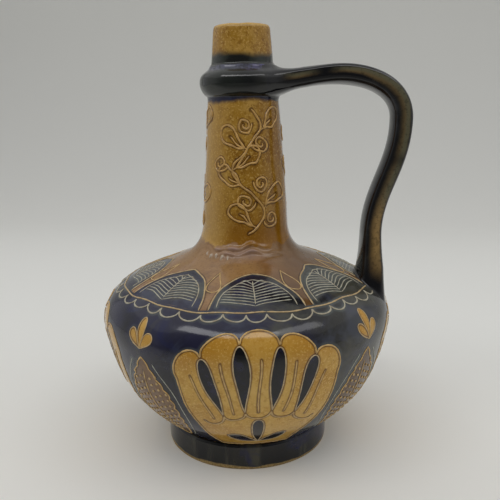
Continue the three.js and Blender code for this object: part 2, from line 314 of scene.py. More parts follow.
def wall(rise):
    """Radius, height and outward normal of the outline at a length up the wall."""
    radius, height = (np.interp(rise, WALL_RISE, WALL[:, k]) for k in (0, 1))
    slope_r, slope_z = (np.interp(rise, WALL_RISE, WALL_SLOPE[:, k]) for k in (0, 1))
    size = np.hypot(slope_r, slope_z)
    return radius, height, slope_z / size, -slope_r / size


def unevenness(turn, rise):
    """Slow waves left by the potter's hands, a slight lean of the neck towards the handle, and a dip of
    the shoulder on the far side from the handle, each a bell curve up the wall."""
    lean = NECK_LEAN * np.cos(turn) * bell(rise - NECK_LEAN_RISE, NECK_LEAN_REACH)
    far_side = ((1 - np.cos(turn)) / 2) ** 2
    dip = SHOULDER_DIP * far_side * bell(rise - SHOULDER_DIP_RISE, SHOULDER_DIP_REACH)
    return waves(turn, rise, WALL_WAVES) + lean - dip


def from_front(turn):
    """Turn from the front, held between minus and plus half a turn."""
    return (turn - FRONT + np.pi) % FULL_TURN - np.pi


def fold(around, rise, line, middle, reach, mean, lump, lumps):
    """One ridge of glaze: a bell curve across its line, lumpy along it and fading to both sides."""
    along = bell(around - middle, reach) * (mean + lump * np.sin(lumps * around))
    return bell(rise - line, FOLD_WIDTH) * along


def glaze_ridges(turn, rise):
    """Shares of the height of thick glaze that ran down the neck: two ridges along swaying lines."""
    around = from_front(turn)
    upper_line = FOLD_RISE + sum(
        high * np.sin(count * around + start) for high, count, start in FOLD_SWAYS
    )
    lower_line = upper_line - FOLD_STEP - FOLD_SLANT * around
    upper = fold(around, rise, upper_line, *UPPER_FOLD)
    return np.maximum(upper, fold(around, rise, lower_line, *LOWER_FOLD))


def glaze_beads(turn, rise):
    """Shares of the height of a row of glaze beads: the upper halves of a sine wave along a swaying
    line, each a bell curve across it."""
    around = from_front(turn)
    line = BEAD_RISE + BEAD_SWAY * np.sin(BEAD_SWAY_WAVES * around) - BEAD_SLANT * around
    row = bell(rise - line, BEAD_WIDTH) * bell(around - BEAD_MIDDLE, BEAD_REACH)
    return row * np.clip(np.sin(BEADS_IN_A_TURN * around), 0, 1)


def glaze_thickness(turn, rise):
    """Share of the thickest glaze: the ridges, and a broad bell curve of thick glaze round them."""
    around = from_front(turn)
    curtain = bell(rise - CURTAIN_RISE, CURTAIN_HEIGHT) * bell(around - CURTAIN_MIDDLE, CURTAIN_REACH)
    return np.maximum(glaze_ridges(turn, rise), CURTAIN_SHARE * curtain)


def turned(radius, height, turn):
    """Point at a radius from the jug's axis, a height and a turn about the axis."""
    return np.stack([AXIS_X + radius * np.cos(turn), radius * np.sin(turn), height + 0 * turn], -1)


def skin(turn, rise, lift=0.0):
    """Point of the outer wall: the outline's point, moved out along its normal and turned."""
    radius, height, normal_r, normal_z = wall(rise)
    runs = FOLD_HEIGHT * np.maximum(glaze_ridges(turn, rise), glaze_beads(turn, rise))
    out = lift + unevenness(turn, rise) + runs
    return turned(radius + normal_r * out, height + normal_z * out, turn)


def skin_normal(turn, rise):
    """Outward way of the outline's own wall, without its waves and runs."""
    _, _, normal_r, normal_z = wall(rise)
    return np.stack([normal_r * np.cos(turn), normal_r * np.sin(turn), normal_z], -1)


# Meshes


def quads_of_grid(rows, columns, wrap_rows):
    """Corner numbers of the faces between neighbouring rows and columns; columns run right round."""
    lower = np.arange(rows if wrap_rows else rows - 1)[:, None] * columns
    upper = (lower + columns) % (rows * columns)
    here = np.arange(columns)[None, :]
    beside = (here + 1) % columns
    return np.stack([lower + here, lower + beside, upper + beside, upper + here], -1).reshape(-1, 4)


def pole_faces(pole, ring, columns, last):
    """Triangles between a pole and the ring of points next to it, at the last or the first row."""
    here = ring + np.arange(columns)
    beside = ring + (np.arange(columns) + 1) % columns
    poles = np.full(columns, pole)
    return np.stack([here, beside, poles] if last else [beside, here, poles], -1)


def closed_grid(grid, poles=None):
    """Vertices, quads and triangles of a grid that closes on itself, or at a first and a last pole."""
    rows, columns = grid.shape[:2]
    vertices = grid.reshape(-1, 3)
    quads = quads_of_grid(rows, columns, poles is None)
    if poles is None:
        return vertices, quads, np.zeros((0, 3), int)
    count = len(vertices)
    ends = [pole_faces(count, 0, columns, False), pole_faces(count + 1, count - columns, columns, True)]
    return np.concatenate([vertices, poles]), quads, np.concatenate(ends)


def new_piece(name, shape, materials, replaced=None, values=None, face_materials=None):
    """A smooth mesh object with its float attributes, riding on the jug's one body."""
    vertices, quads, triangles = shape
    mesh = bpy.data.meshes.new(name)
    mesh.from_pydata(vertices, [], quads.tolist() + triangles.tolist())
    for material in materials:
        mesh.materials.append(material)
    if face_materials is not None:
        mesh.polygons.foreach_set("material_index", face_materials)
    for key, numbers in (values or {}).items():
        layer = mesh.attributes.new(key, "FLOAT", "POINT")
        layer.data.foreach_set("value", np.ascontiguousarray(numbers, dtype=np.float32).ravel())
    mesh.shade_smooth()
    mesh.set_sharp_from_angle(angle=np.radians(SHARP_ANGLE))
    mesh.update()
    piece = bpy.data.objects.new(name, mesh)
    bpy.context.scene.collection.objects.link(piece)
    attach(piece, "root")
    if replaced:
        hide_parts(replaced)


def column_turns(columns):
    """Turns of evenly spaced columns, as one row."""
    return np.linspace(0, FULL_TURN, columns, endpoint=False)[None, :]


def spun(profile, columns):
    """Turns a profile of (radius, height) points about the jug's axis into a grid of points."""
    return turned(profile[:, :1], profile[:, 1:], column_turns(columns))


def section_grid(section, row, columns):
    """Rises of the rows and turns of the columns of a section's outer wall."""
    start, end = SECTION_START[section], SECTION_END[section]
    rows = int(round((end - start) / row)) + 1
    return np.linspace(start, end, rows)[:, None], column_turns(columns)


def thrown_section(section, row, columns, inside, materials, slot, under=None, paint=None):
    """A thrown section as one closed skin. Rows climb the outer wall, then follow the inside profile.
    A section with an underside starts and ends on the axis; any other closes on itself."""
    rise, turn = section_grid(section, row, columns)
    outer = skin(turn, rise)
    grids = [outer, spun(inside, columns)]
    poles = None
    if under is not None:
        grids.insert(0, spun(under, columns))
        poles = np.array([[AXIS_X, 0, under[0, 1]], [AXIS_X, 0, inside[-1, 1]]])
    shape = closed_grid(np.concatenate(grids), poles)
    vertices, quads, triangles = shape
    first = 0 if under is None else len(under) * columns
    outer_or_inside = np.ones(len(quads) + len(triangles), np.int32)
    outer_or_inside[first : first + (len(outer) - 1) * columns] = 0
    values = {}
    for key, numbers in (paint(turn, rise) if paint else {}).items():
        whole = np.full(len(vertices), -FAR, np.float32)
        whole[first : first + numbers.size] = numbers
        values[key] = whole
    new_piece(section + "_glazed", shape, materials, section, values, outer_or_inside)


def inner_wall(section, thickness, step):
    """The section's outline moved inwards by the clay's thickness, from its top down to its bottom."""
    rise = np.arange(SECTION_END[section], SECTION_START[section], -step)
    rise = np.append(rise, SECTION_START[section])
    radius, height, normal_r, normal_z = wall(rise)
    return np.stack([radius - thickness * normal_r, height - thickness * normal_z], -1)


# Ornament, drawn flat: x runs round the jug at its widest, y up the wall from the foot. A line is
# (path, tint, weight): the tint runs from 0 for grey slip to 1 for tan, the weight scales its width

FANS = 4
FAN_FIRST = FRONT + np.radians(4)
FAN_PITCH = FULL_TURN * BELLY_RADIUS / FANS
FAN_BASE = 0.003
FAN_ROOT = -0.030
FAN_LOBES = 5
FAN_HALF_TURN = np.radians(25.9)
FAN_REACH = 0.1245
FAN_SIDE_DROP = 0.0120
FAN_LOBE_HEIGHT = 0.0078
FAN_FOOT_HALF = 0.034
FAN_SIDE_PULLS = np.array([[0.0490, 0.050], [0.0370, 0.024]])
GARLAND_HALF_TURN = np.radians(27.6)
GARLAND_REACH = 0.0800
GARLAND_SAG = 0.0055
DROP_GAP = 0.0010
DROP_WIDTH = 0.0090
DROP_FULLNESS = 0.62
RIB_END = 0.72
LOTUS_FOOT = 0.0090
LOTUS_WIDTH = 0.0105
LOTUS_LEAVES = ((-58, 0.027), (0, 0.034), (58, 0.027))

LEAF_FOOT = 0.005
LEAF_TIP = 0.080
LEAF_HALF = 0.0190
LEAF_SCALLOPS = 11
LEAF_SCALLOP_HEIGHT = 0.0018
LEAF_STEM_SPAN = (0.08, 0.88)
LEAF_HALO = 0.0060
LEAF_HALO_SPAN = (0.08, 0.96)
LEAF_DOT_ROWS = 12
LEAF_DOT_SPAN = (0.12, 0.78)
LEAF_DOT_STEP = 0.0050
LEAF_DOT_INSET = 0.2
LEAF_DOT_CLIMB = 0.0022
SPRIG_GAP = 0.0050
SPRIG_WIDTH = 0.0062
SPRIG_LEAVES = ((-42, 0.013), (0, 0.018), (42, 0.013))

FESTOONS = 40
FESTOON_TOP = 0.1115
FESTOON_SAG = 0.0050
BORDER = 0.1128

PETALS = 8
PETAL_PITCH = FULL_TURN * BELLY_RADIUS / PETALS
PETAL_FOOT = 0.1145
PETAL_TIP = 0.1475
PETAL_HALF = 0.0335
PETAL_RIM = 0.0036
PETAL_RIM_AT_TIP = 1.6
PETAL_RIM_AT_FOOT = 0.6
PETAL_MIDRIB_START = 0.002
PETAL_MIDRIB_END = 0.93
PETAL_VEINS = 9
VEIN_SPAN = (0.02, 0.78)
VEIN_REACH = 0.94
VEIN_AIM = 0.10
VEIN_BOW = 0.16
VEIN_BOW_TURN = 0.62 * np.pi
DART_FOOT = 0.1290
DART_TIP = 0.1480
DART_WIDTH = 0.0150

NECK_PITCH_RADIUS = 0.0245
VINES = 3
VINE_FIRST = FRONT + np.radians(5)
VINE_FOOT = SECTION_END["shoulder"] + 0.022
VINE_HEAD = SECTION_END["neck"] - 0.008
VINE_SWAY = 0.0085
VINE_WAVE = 0.052
VINE_LEAVES = 6
VINE_LEAF_SPAN = (0.06, 0.84)
VINE_LEAF_GAP = 0.0025
VINE_LEAF_LENGTH = 0.0200
VINE_LEAF_WIDTH = 0.0105
VINE_LEAF_LEAN = 52
VINE_MIDRIB_END = 0.6
COIL_RADIUS = 0.0054
COIL_CORE = 0.0012
COIL_TURNS = 1.6
COIL_GAP = 0.004
COIL_CLIMB = 0.0035

BOLD = 1.35
PLAIN = 1.0
FINE = 0.75


def from_root(bearing, distance):
    """Point at a bearing from upright and a distance from the fan's root."""
    return np.stack([distance * np.sin(bearing), FAN_ROOT + distance * np.cos(bearing)], -1)


def edge_point(share, beyond=0.0):
    """Point on the fan's bowed edge, or beyond it, at a share from -1 to 1 of its width."""
    return from_root(share * FAN_HALF_TURN, FAN_REACH - FAN_SIDE_DROP * share**2 + beyond)


def garland_point(share, beyond=0.0):
    """Point on the garland across the fan, or beyond it, at a share from -1 to 1 of its width."""
    return from_root(share * GARLAND_HALF_TURN, GARLAND_REACH + beyond + 0 * share)


def scallops(count, points=24):
    """Shares from -1 to 1 and, along them, a row of half circles: sqrt(1-u^2) across each scallop."""
    share = np.linspace(-1, 1, points * count + 1)
    across = 2 * ((share + 1) / 2 * count % 1) - 1
    return share, np.sqrt(np.clip(1 - across**2, 0, 1))


def fan_outline():
    """A shell: lobes along a bowed edge, two drawn-in sides and a straight foot."""
    share, swell = scallops(FAN_LOBES)
    top = edge_point(share, FAN_LOBE_HEIGHT * swell)
    foot = np.array([FAN_FOOT_HALF, FAN_BASE])
    side = bezier(top[-1], *FAN_SIDE_PULLS, foot, 40)
    mirrored = side[::-1] * [-1, 1]
    return np.concatenate([top, side[1:], mirrored[:-1]])


def drop(start, end, width):
    """A tear: along its axis (1-cos a)/2, across it sin a times that to the power 0.6."""
    angle = np.linspace(0, FULL_TURN, 60, endpoint=False)
    along = (1 - np.cos(angle)) / 2
    across = DROP_FULLNESS * width * np.sin(angle) * along**0.6
    axis = np.asarray(end) - start
    square = np.array([-axis[1], axis[0]]) / np.linalg.norm(axis)
    return start + along[:, None] * axis + across[:, None] * square


def sprig(foot, leaves, width):
    """Drops that spread from one foot, each with its own lean from upright and its own length."""
    return [drop(foot, foot + length * heading(90 + lean), width) for lean, length in leaves]


def leaf_half(t):
    """Half width of the belly's leaf: sin(pi t)^0.85, times 1.2 - 0.5t to be wider below than above."""
    return LEAF_HALF * np.sin(np.pi * t) ** 0.85 * (1.2 - 0.5 * t)


def leaf_height(t):
    """Height up the wall at a share of the leaf's height."""
    return LEAF_FOOT + (LEAF_TIP - LEAF_FOOT) * t


def leaf_outline():
    """A leaf standing on the foot, with a scalloped edge."""
    t = np.linspace(0, 1, 20 * LEAF_SCALLOPS + 1)
    edge = np.abs(np.sin(LEAF_SCALLOPS * np.pi * t)) * np.sin(np.pi * t) ** 0.4
    right = np.stack([leaf_half(t) + LEAF_SCALLOP_HEIGHT * edge, leaf_height(t)], -1)
    return np.concatenate([right, right[-2:0:-1] * [-1, 1]])


def petal_half(t):
    """Half width of a shoulder petal at a share of its height: (1-t^3)^0.75."""
    return PETAL_HALF * (1 - t**3) ** 0.75


def petal_outline(inset=0.0):
    """A petal from its right foot over the tip to its left foot, moved in by an inset."""
    t = 1 - (1 - np.linspace(0, 1, 60)) ** 2
    tip = PETAL_TIP - PETAL_RIM_AT_TIP * inset
    foot = PETAL_FOOT + PETAL_RIM_AT_FOOT * inset
    half = np.maximum(petal_half(t) - inset * (1 + 0.5 * (1 - t)), 0)
    right = np.stack([half, foot + (tip - foot) * t], -1)
    return np.concatenate([right, right[-2::-1] * [-1, 1]])


def closed_path(outline):
    """The outline with its first point again at its end."""
    return np.concatenate([outline, outline[:1]])


def upright(low, high):
    """Straight path up the middle of a repeat."""
    return np.stack([np.zeros(24), np.linspace(low, high, 24)], -1)


def fan_plan():
    """The fan's outline, its garland, a rib line in each lobe, a dark drop below each notch between two
    lobes, and the lotus below."""
    fan = fan_outline()
    share, swell = scallops(FAN_LOBES)
    garland = garland_point(share, -GARLAND_SAG * swell)
    lines = [(closed_path(fan), 1.0, PLAIN), (garland, 0.9, PLAIN)]
    drops = []
    for middle in (2 * np.arange(FAN_LOBES) + 1) / FAN_LOBES - 1:
        rib = np.linspace(garland_point(middle), edge_point(middle, FAN_LOBE_HEIGHT), 24)
        lines.append((rib[: int(RIB_END * len(rib))], 1.0, PLAIN))
    for notch in 2 * np.arange(1, FAN_LOBES) / FAN_LOBES - 1:
        drops.append(drop(garland_point(notch, DROP_GAP), edge_point(notch, -DROP_GAP), DROP_WIDTH))
        lines.append((closed_path(drops[-1]), 0.6, FINE))
    lotus = sprig(np.array([0, LOTUS_FOOT]), LOTUS_LEAVES, LOTUS_WIDTH)
    lines += [(closed_path(leaf), 0.6, FINE) for leaf in lotus]
    return fan, drops + lotus, lines


def belly_plan():
    """One repeat of the belly: a fan in the middle and half a leaf on either side of it."""
    fan, strokes, lines = fan_plan()
    leaf = leaf_outline()
    beside = np.array([FAN_PITCH / 2, 0])
    sprigs = sprig(np.array([0, LEAF_TIP + SPRIG_GAP]), SPRIG_LEAVES, SPRIG_WIDTH)
    t = np.linspace(*LEAF_HALO_SPAN, 60)
    halo = np.stack([leaf_half(t) + LEAF_HALO, leaf_height(t)], -1)
    stem = upright(*leaf_height(np.array(LEAF_STEM_SPAN)))
    lines.append((closed_path(leaf + beside), 1.0, PLAIN))
    lines.append((stem + beside, 0.9, PLAIN))
    lines += [(closed_path(part + beside), 0.8, FINE) for part in sprigs]
    lines += [(halo * [side, 1] + beside, 0.0, FINE) for side in (-1, 1)]
    buff = [fan] + [part + side * beside for part in sprigs for side in (-1, 1)]
    brown = [leaf + side * beside for side in (-1, 1)]
    return {
        "first": FAN_FIRST, "count": FANS, "radius": BELLY_RADIUS,
        "lines": lines, "buff": buff, "dark": strokes, "brown": brown,
    }


def petal_plan():
    """One repeat of the shoulder: a petal with a second outline, a midrib and bowed veins, and a dart
    between two petals. A vein rises as a stretch of a sine wave."""
    petal = petal_outline()
    inner = petal_outline(PETAL_RIM)
    low, high = inner[:, 1].min(), inner[:, 1].max()
    height = high - low
    midrib = upright(low + PETAL_MIDRIB_START, low + PETAL_MIDRIB_END * height)
    lines = [(petal, 0.7, PLAIN), (inner, 0.2, FINE), (midrib, 0.2, FINE)]
    edge = inner[: len(inner) // 2 + 1]
    t = np.linspace(0, 1, 16)
    for share in np.linspace(*VEIN_SPAN, PETAL_VEINS):
        foot = low + share * height
        reach = VEIN_REACH * np.interp(foot + VEIN_AIM * height, edge[:, 1], edge[:, 0])
        vein = np.stack([reach * t, foot + VEIN_BOW * height * np.sin(VEIN_BOW_TURN * t)], -1)
        lines += [(vein * [side, 1], 0.1, FINE) for side in (-1, 1)]
    between = PETAL_PITCH / 2
    dart = drop(np.array([between, DART_TIP]), np.array([between, DART_FOOT]), DART_WIDTH)
    lines.append((closed_path(dart), 0.9, FINE))
    return {
        "first": FAN_FIRST, "count": PETALS, "radius": BELLY_RADIUS,
        "lines": lines, "dark": [petal],
    }


def border_lines(count):
    """The shoulder's border over a number of scallops: the scalloped line and a straight one above."""
    share, swell = scallops(count)
    around = count / FESTOONS * np.pi * BELLY_RADIUS * share
    festoon = np.stack([around, FESTOON_TOP - FESTOON_SAG * swell], -1)
    straight = np.stack([around, BORDER + 0 * around], -1)
    return [(festoon, 0.2, PLAIN), (straight, 0.7, PLAIN)]


def border_plan():
    """One scallop of the border as a repeat."""
    lines = border_lines(1)
    return {"first": FAN_FIRST, "count": FESTOONS, "radius": BELLY_RADIUS, "lines": lines}


def border_rings():
    """The border's two lines drawn right round the jug, from the end of one scallop."""
    middle = FAN_FIRST + np.pi / FESTOONS + np.pi
    return [(path, BELLY_RADIUS, middle, *look) for path, *look in border_lines(FESTOONS)]


def vine_plan():
    """One climbing stem on the neck: a sine wave with leaves in its bends and coiled tendrils."""
    rise = np.linspace(VINE_FOOT, VINE_HEAD, 120)
    stem = np.stack([VINE_SWAY * np.sin(FULL_TURN * (rise - VINE_FOOT) / VINE_WAVE), rise], -1)
    lines = [(stem, 1.0, BOLD)]
    turn = np.linspace(0, COIL_TURNS * FULL_TURN, 70)
    size = COIL_CORE + (COIL_RADIUS - COIL_CORE) * (1 - turn / turn[-1])
    for k, share in enumerate(np.linspace(*VINE_LEAF_SPAN, VINE_LEAVES)):
        side = 1 if k % 2 else -1
        root = stem[int(share * (len(stem) - 1))]
        lean = heading(90 - side * VINE_LEAF_LEAN)
        tip = root + VINE_LEAF_LENGTH * lean
        leaf = drop(root + VINE_LEAF_GAP * lean, tip, VINE_LEAF_WIDTH)
        midrib = np.linspace(root, root + VINE_MIDRIB_END * (tip - root), 12)
        lines.append((closed_path(leaf), 1.0, BOLD))
        lines.append((midrib, 1.0, PLAIN))
        centre = root + np.array([-side * (COIL_RADIUS + COIL_GAP), COIL_CLIMB])
        coil = centre + size[:, None] * np.stack([side * np.cos(turn), -np.sin(turn)], -1)
        lines.append((coil, 1.0, BOLD))
    return {"first": VINE_FIRST, "count": VINES, "radius": NECK_PITCH_RADIUS, "lines": lines}


def wobble(turn, rise):
    """Drift of the hand from the plan: (round the jug, up the wall) in metres."""
    return waves(turn, rise, DRIFT_ASIDE), waves(turn, rise, DRIFT_UP)


def distance_to_path(x, y, stretch, path):
    """Shortest distance from each point to a path of straight stretches, with x at its true length."""
    start, along = path[:-1], np.diff(path, axis=0)
    rel_x = (x[:, None] - start[:, 0]) * stretch[:, None]
    rel_y = y[:, None] - start[:, 1]
    step_x = along[:, 0] * stretch[:, None]
    step_y = along[:, 1]
    share = (rel_x * step_x + rel_y * step_y) / (step_x**2 + step_y**2 + 1e-18)
    share = np.clip(share, 0, 1)
    return np.sqrt(((rel_x - share * step_x) ** 2 + (rel_y - share * step_y) ** 2).min(1))


def is_inside(x, y, outline):
    """Whether a level ray from each point crosses the outline an odd number of times."""
    ahead = np.roll(outline, -1, axis=0)
    spans = (outline[:, 1] > y[:, None]) != (ahead[:, 1] > y[:, None])
    climb = ahead[:, 1] - outline[:, 1]
    climb = np.where(climb == 0, 1e-12, climb)
    crossing = outline[:, 0] + (y[:, None] - outline[:, 1]) * (ahead[:, 0] - outline[:, 0]) / climb
    return (spans & (x[:, None] < crossing)).sum(1) % 2 == 1


def near(x, y, path):
    """Numbers of the points in a box round a path."""
    low, high = path.min(0) - 2 * FAR, path.max(0) + 2 * FAR
    return np.flatnonzero((x > low[0]) & (x < high[0]) & (y > low[1]) & (y < high[1]))


def depth_inside(x, y, stretch, outlines):
    """Depth inside the nearest of some closed outlines, negative outside, held to FAR."""
    depth = np.full(x.shape, -FAR)
    for outline in outlines:
        close = near(x, y, outline)
        if len(close):
            distance = distance_to_path(x[close], y[close], stretch[close], closed_path(outline))
            signed = np.where(is_inside(x[close], y[close], outline), distance, -distance)
            depth[close] = np.maximum(depth[close], signed)
    return np.clip(depth, -FAR, FAR)


def distance_to_lines(x, y, stretch, lines):
    """Distance to the nearest of some lines, held to FAR."""
    distance = np.full(x.shape, FAR)
    for path, _, _ in lines:
        close = near(x, y, path)
        if len(close):
            found = distance_to_path(x[close], y[close], stretch[close], path)
            distance[close] = np.minimum(distance[close], found)
    return distance


def unrolled(turn, rise, plan):
    """Flat x within a plan's own repeat, flat y, and the true length of a unit of x."""
    aside, up = wobble(turn, rise)
    radius = wall(rise)[0]
    pitch = FULL_TURN / plan["count"]
    within = (turn - aside / radius - plan["first"] + pitch / 2) % pitch - pitch / 2
    return within * plan["radius"], rise - up, radius / plan["radius"]


BELLY = belly_plan()
PETAL = petal_plan()
BORDER_PLAN = border_plan()
VINE = vine_plan()


def line_paint(turn, rise, plans):
    """Distance to the nearest slip line, and shares of thick glaze and of glaze beads."""
    gaps = [distance_to_lines(*unrolled(turn, rise, plan), plan["lines"]) for plan in plans]
    return {
        "line": np.minimum.reduce(gaps),
        "thick": glaze_thickness(turn, rise),
        "bead": glaze_beads(turn, rise),
    }


def belly_paint(turn, rise):
    """Depths inside the buff glaze, the ink strokes and the brown glaze, and the paint of the lines."""
    turn, rise = (part.ravel() for part in np.broadcast_arrays(turn, rise))
    flat = unrolled(turn, rise, BELLY)
    ink = depth_inside(*flat, BELLY["dark"])
    buff = np.minimum(depth_inside(*flat, BELLY["buff"]), -ink)
    brown = depth_inside(*flat, BELLY["brown"])
    on_petal = unrolled(turn, rise, PETAL)
    bare = np.minimum(on_petal[1] - PETAL_FOOT, -depth_inside(*on_petal, PETAL["dark"]))
    return {
        "buff": buff,
        "ink": ink,
        "brown": np.maximum(brown, np.clip(bare, -FAR, FAR)),
        **line_paint(turn, rise, [BELLY, PETAL, BORDER_PLAN]),
    }


def neck_paint(turn, rise):
    """The paint of the vine's lines."""
    turn, rise = (part.ravel() for part in np.broadcast_arrays(turn, rise))
    return line_paint(turn, rise, [VINE])


# Handle

HANDLE_CROWN = np.array([0.0580, 0.2400])
HANDLE_ROOT = np.array([0.0219, 0.2360])
HANDLE_ELBOW_DROP = 0.0270
HANDLE_WAIST_RADIUS = 0.0810
HANDLE_WAIST_HEIGHT = 0.1398
HANDLE_LANDING = np.array([0.0793, 0.1009])
ROOT_ANGLE = 9
LANDING_LEAN = 11
ROOT_PULL = 0.012
CROWN_PULLS = (0.012, 0.024)
ELBOW_PULLS = (0.0165, 0.030)
WAIST_PULLS = (0.030, 0.013)
LANDING_PULL = 0.013
CROWN_THICKNESS = 0.0130
ELBOW_THICKNESS = 0.0140
WAIST_THICKNESS = 0.0130
HANDLE_WIDTH = 0.0195
OUTER_CROWN = 0.0018
INNER_CROWN = 0.0012
HANDLE_TWIST = 9
TWIST_FADE = 0.030
HANDLE_TRIM = 0.0010
OUTER_EDGE_ROUND = 0.0020
INNER_EDGE_ROUND = 0.0042
ROOT_BITE = 0.005
LANDING_BITE = 0.009
ROOT_FLARE = 0.006
ROOT_FLARE_LENGTH = 0.005
LANDING_FLARE = 0.009
LANDING_FLARE_LENGTH = 0.014
LANDING_SPREAD = 1.6
HANDLE_STEP = 0.0009
HANDLE_SIDES = 96
ROOT_FILLETS = (0.0140, 0.0080)
ROOT_FILLET_START = 0.0165
LANDING_FILLETS = (0.0018, 0.0026)
LANDING_FILLET_START = 0.0200
LANDING_SPLAY = 0.5
FILLET_ROWS = 20
WALL_SEARCH = 0.045
WALL_HALVINGS = 40


def handle_line():
    """Centre line in (radius, height) and the lengths at which its five stations lie."""
    elbow = np.array([HANDLE_REACH - ELBOW_THICKNESS / 2, HANDLE_CROWN[1] - HANDLE_ELBOW_DROP])
    waist = np.array([HANDLE_WAIST_RADIUS, HANDLE_WAIST_HEIGHT])
    down = heading(-90)
    stations = [
        (HANDLE_ROOT, heading(ROOT_ANGLE), 0, ROOT_PULL),
        (HANDLE_CROWN, heading(0), *CROWN_PULLS),
        (elbow, down, *ELBOW_PULLS),
        (waist, down, *WAIST_PULLS),
        (HANDLE_LANDING, heading(-90 - LANDING_LEAN), LANDING_PULL, 0),
    ]
    curves = []
    for (start, start_way, _, after), (end, end_way, before, _) in zip(stations, stations[1:]):
        curves.append(bezier(start, start + after * start_way, end - before * end_way, end))
    marks = np.cumsum([0.0] + [lengths_along(curve)[-1] for curve in curves])
    joined = np.concatenate([curves[0]] + [curve[1:] for curve in curves[1:]])
    return resampled(joined, HANDLE_STEP), marks


def handle_section():
    """Closed section in (across, out), as shares of half the width and half the thickness: two broad
    faces bowed as parabolas, two straight sides, and edges rounded by averaging with a bell curve, the
    inner ones more than the outer ones."""
    half_width, half_thick = HANDLE_WIDTH / 2, CROWN_THICKNESS / 2
    across = half_width * np.linspace(-1, 1, 40)
    outer = np.stack([across, half_thick - OUTER_CROWN * (across / half_width) ** 2], -1)
    inner = np.stack([-across, INNER_CROWN * (across / half_width) ** 2 - half_thick], -1)
    sharp = closed_path(np.concatenate([outer, inner]))
    travelled = lengths_along(sharp)
    marks = np.linspace(0, travelled[-1], HANDLE_SIDES, endpoint=False)
    even = np.stack([np.interp(marks, travelled, sharp[:, k]) for k in (0, 1)], -1)
    gap = np.minimum(marks, travelled[-1] - marks)
    nearby = (np.arange(HANDLE_SIDES)[:, None] - np.arange(HANDLE_SIDES)) % HANDLE_SIDES
    curves = [bell(gap, reach) for reach in (INNER_EDGE_ROUND, OUTER_EDGE_ROUND)]
    soft, crisp = ((curve / curve.sum())[nearby] @ even for curve in curves)
    outer_share = smoothstep(-half_thick / 2, half_thick / 2, even[:, 1:])
    return (soft + outer_share * (crisp - soft)) / [half_width, half_thick]


def handle_rings():
    """The section carried along the centre line, growing towards both ends by exp(-distance / length) as
    the clay was smoothed on, and turned a little about that line, but not at the collar."""
    line, marks = handle_line()
    length = lengths_along(line)
    way = np.gradient(line, axis=0)
    way /= np.linalg.norm(way, axis=1)[:, None]
    thicknesses = [CROWN_THICKNESS, CROWN_THICKNESS, ELBOW_THICKNESS, WAIST_THICKNESS, WAIST_THICKNESS]
    past_root = np.maximum(length - ROOT_BITE, 0)
    to_landing = np.maximum(length[-1] - length - LANDING_BITE, 0)
    root_flare = ROOT_FLARE * np.exp(-past_root / ROOT_FLARE_LENGTH)
    landing_flare = LANDING_FLARE * np.exp(-to_landing / LANDING_FLARE_LENGTH)
    thickness = np.interp(length, marks, thicknesses) - HANDLE_TRIM + root_flare + landing_flare
    width = HANDLE_WIDTH + root_flare + LANDING_SPREAD * landing_flare
    section = handle_section()
    across = -width[:, None] / 2 * section[:, 0]
    out = thickness[:, None] / 2 * section[:, 1]
    twist = HANDLE_TWIST * smoothstep(ROOT_FILLET_START, ROOT_FILLET_START + TWIST_FADE, length)
    cosine, sine = heading(twist)[..., None]
    across, out = cosine * across + sine * out, cosine * out - sine * across
    radius = line[:, :1] - way[:, 1:] * out
    height = line[:, 1:] + way[:, :1] * out
    rings = np.stack([AXIS_X + radius, across, height], -1)
    ways = np.stack([way[:, 0], 0 * way[:, 0], way[:, 1]], -1)
    return rings, ways, length, section[:, 1]


def meet_wall(points, way):
    """Where straight lines from points outside the jug first meet its wall, found by halving."""
    low, high = np.zeros(len(points)), np.full(len(points), WALL_SEARCH)
    for _ in range(WALL_HALVINGS):
        middle = (low + high) / 2
        at = points + middle[:, None] * way
        outside = np.hypot(at[:, 0] - AXIS_X, at[:, 1]) > np.interp(at[:, 2], WALL[:, 1], WALL[:, 0])
        low, high = np.where(outside, middle, low), np.where(outside, high, middle)
    return points + high[:, None] * way


def spread(ring, way, fillets):
    """Where a ring's lines meet the wall, as points and as turn and rise, and from there the walk along
    the wall, away from their middle, in turn and rise: as long as the first fillet beside the handle and
    the second above and below it."""
    met = meet_wall(ring, way)
    turn = np.arctan2(met[:, 1], met[:, 0] - AXIS_X)
    rise = np.interp(met[:, 2], WALL[:, 1], WALL_RISE)
    radius = wall(rise)[0]
    walk = np.stack([(turn - turn.mean()) * radius, rise - rise.mean()])
    walk /= np.hypot(*walk)
    beside, above = fillets
    walk *= beside + (above - beside) * walk[1] ** 2
    return met, turn, rise, walk[0] / radius, walk[1]


def smoothed_end(ring, way, fillets):
    """Rows that carry a ring on to the wall and spread it there. Each row has walked t^2 of the fillet
    along the wall from where the ring's lines meet it, and stands (1 - t)^2 of the way back to the
    ring."""
    met, turn, rise, aside, up = spread(ring, way, fillets)
    t = np.linspace(0, 1, FILLET_ROWS)[1:, None]
    walked = skin(turn + t**2 * aside, rise + t**2 * up)
    rows = walked + (1 - t[..., None]) ** 2 * (ring - met)
    sunk = skin(turn + aside, rise + up, -LUTE_GAP)[None]
    pole = skin(turn.mean(), rise.mean(), -2 * LUTE_GAP)
    return np.concatenate([rows, sunk]), pole


def last_ring(rings, ways, length):
    """Number of the last ring above the shoulder, and the way each of its points goes on from there:
    along the handle's line, mixed with the point's own way so far."""
    last = np.searchsorted(length, length[-1] - LANDING_FILLET_START)
    step = rings[last] - rings[last - 1]
    step /= np.linalg.norm(step, axis=1)[:, None]
    way = ways[last] + LANDING_SPLAY * (step - ways[last])
    return last, way / np.linalg.norm(way, axis=1)[:, None]


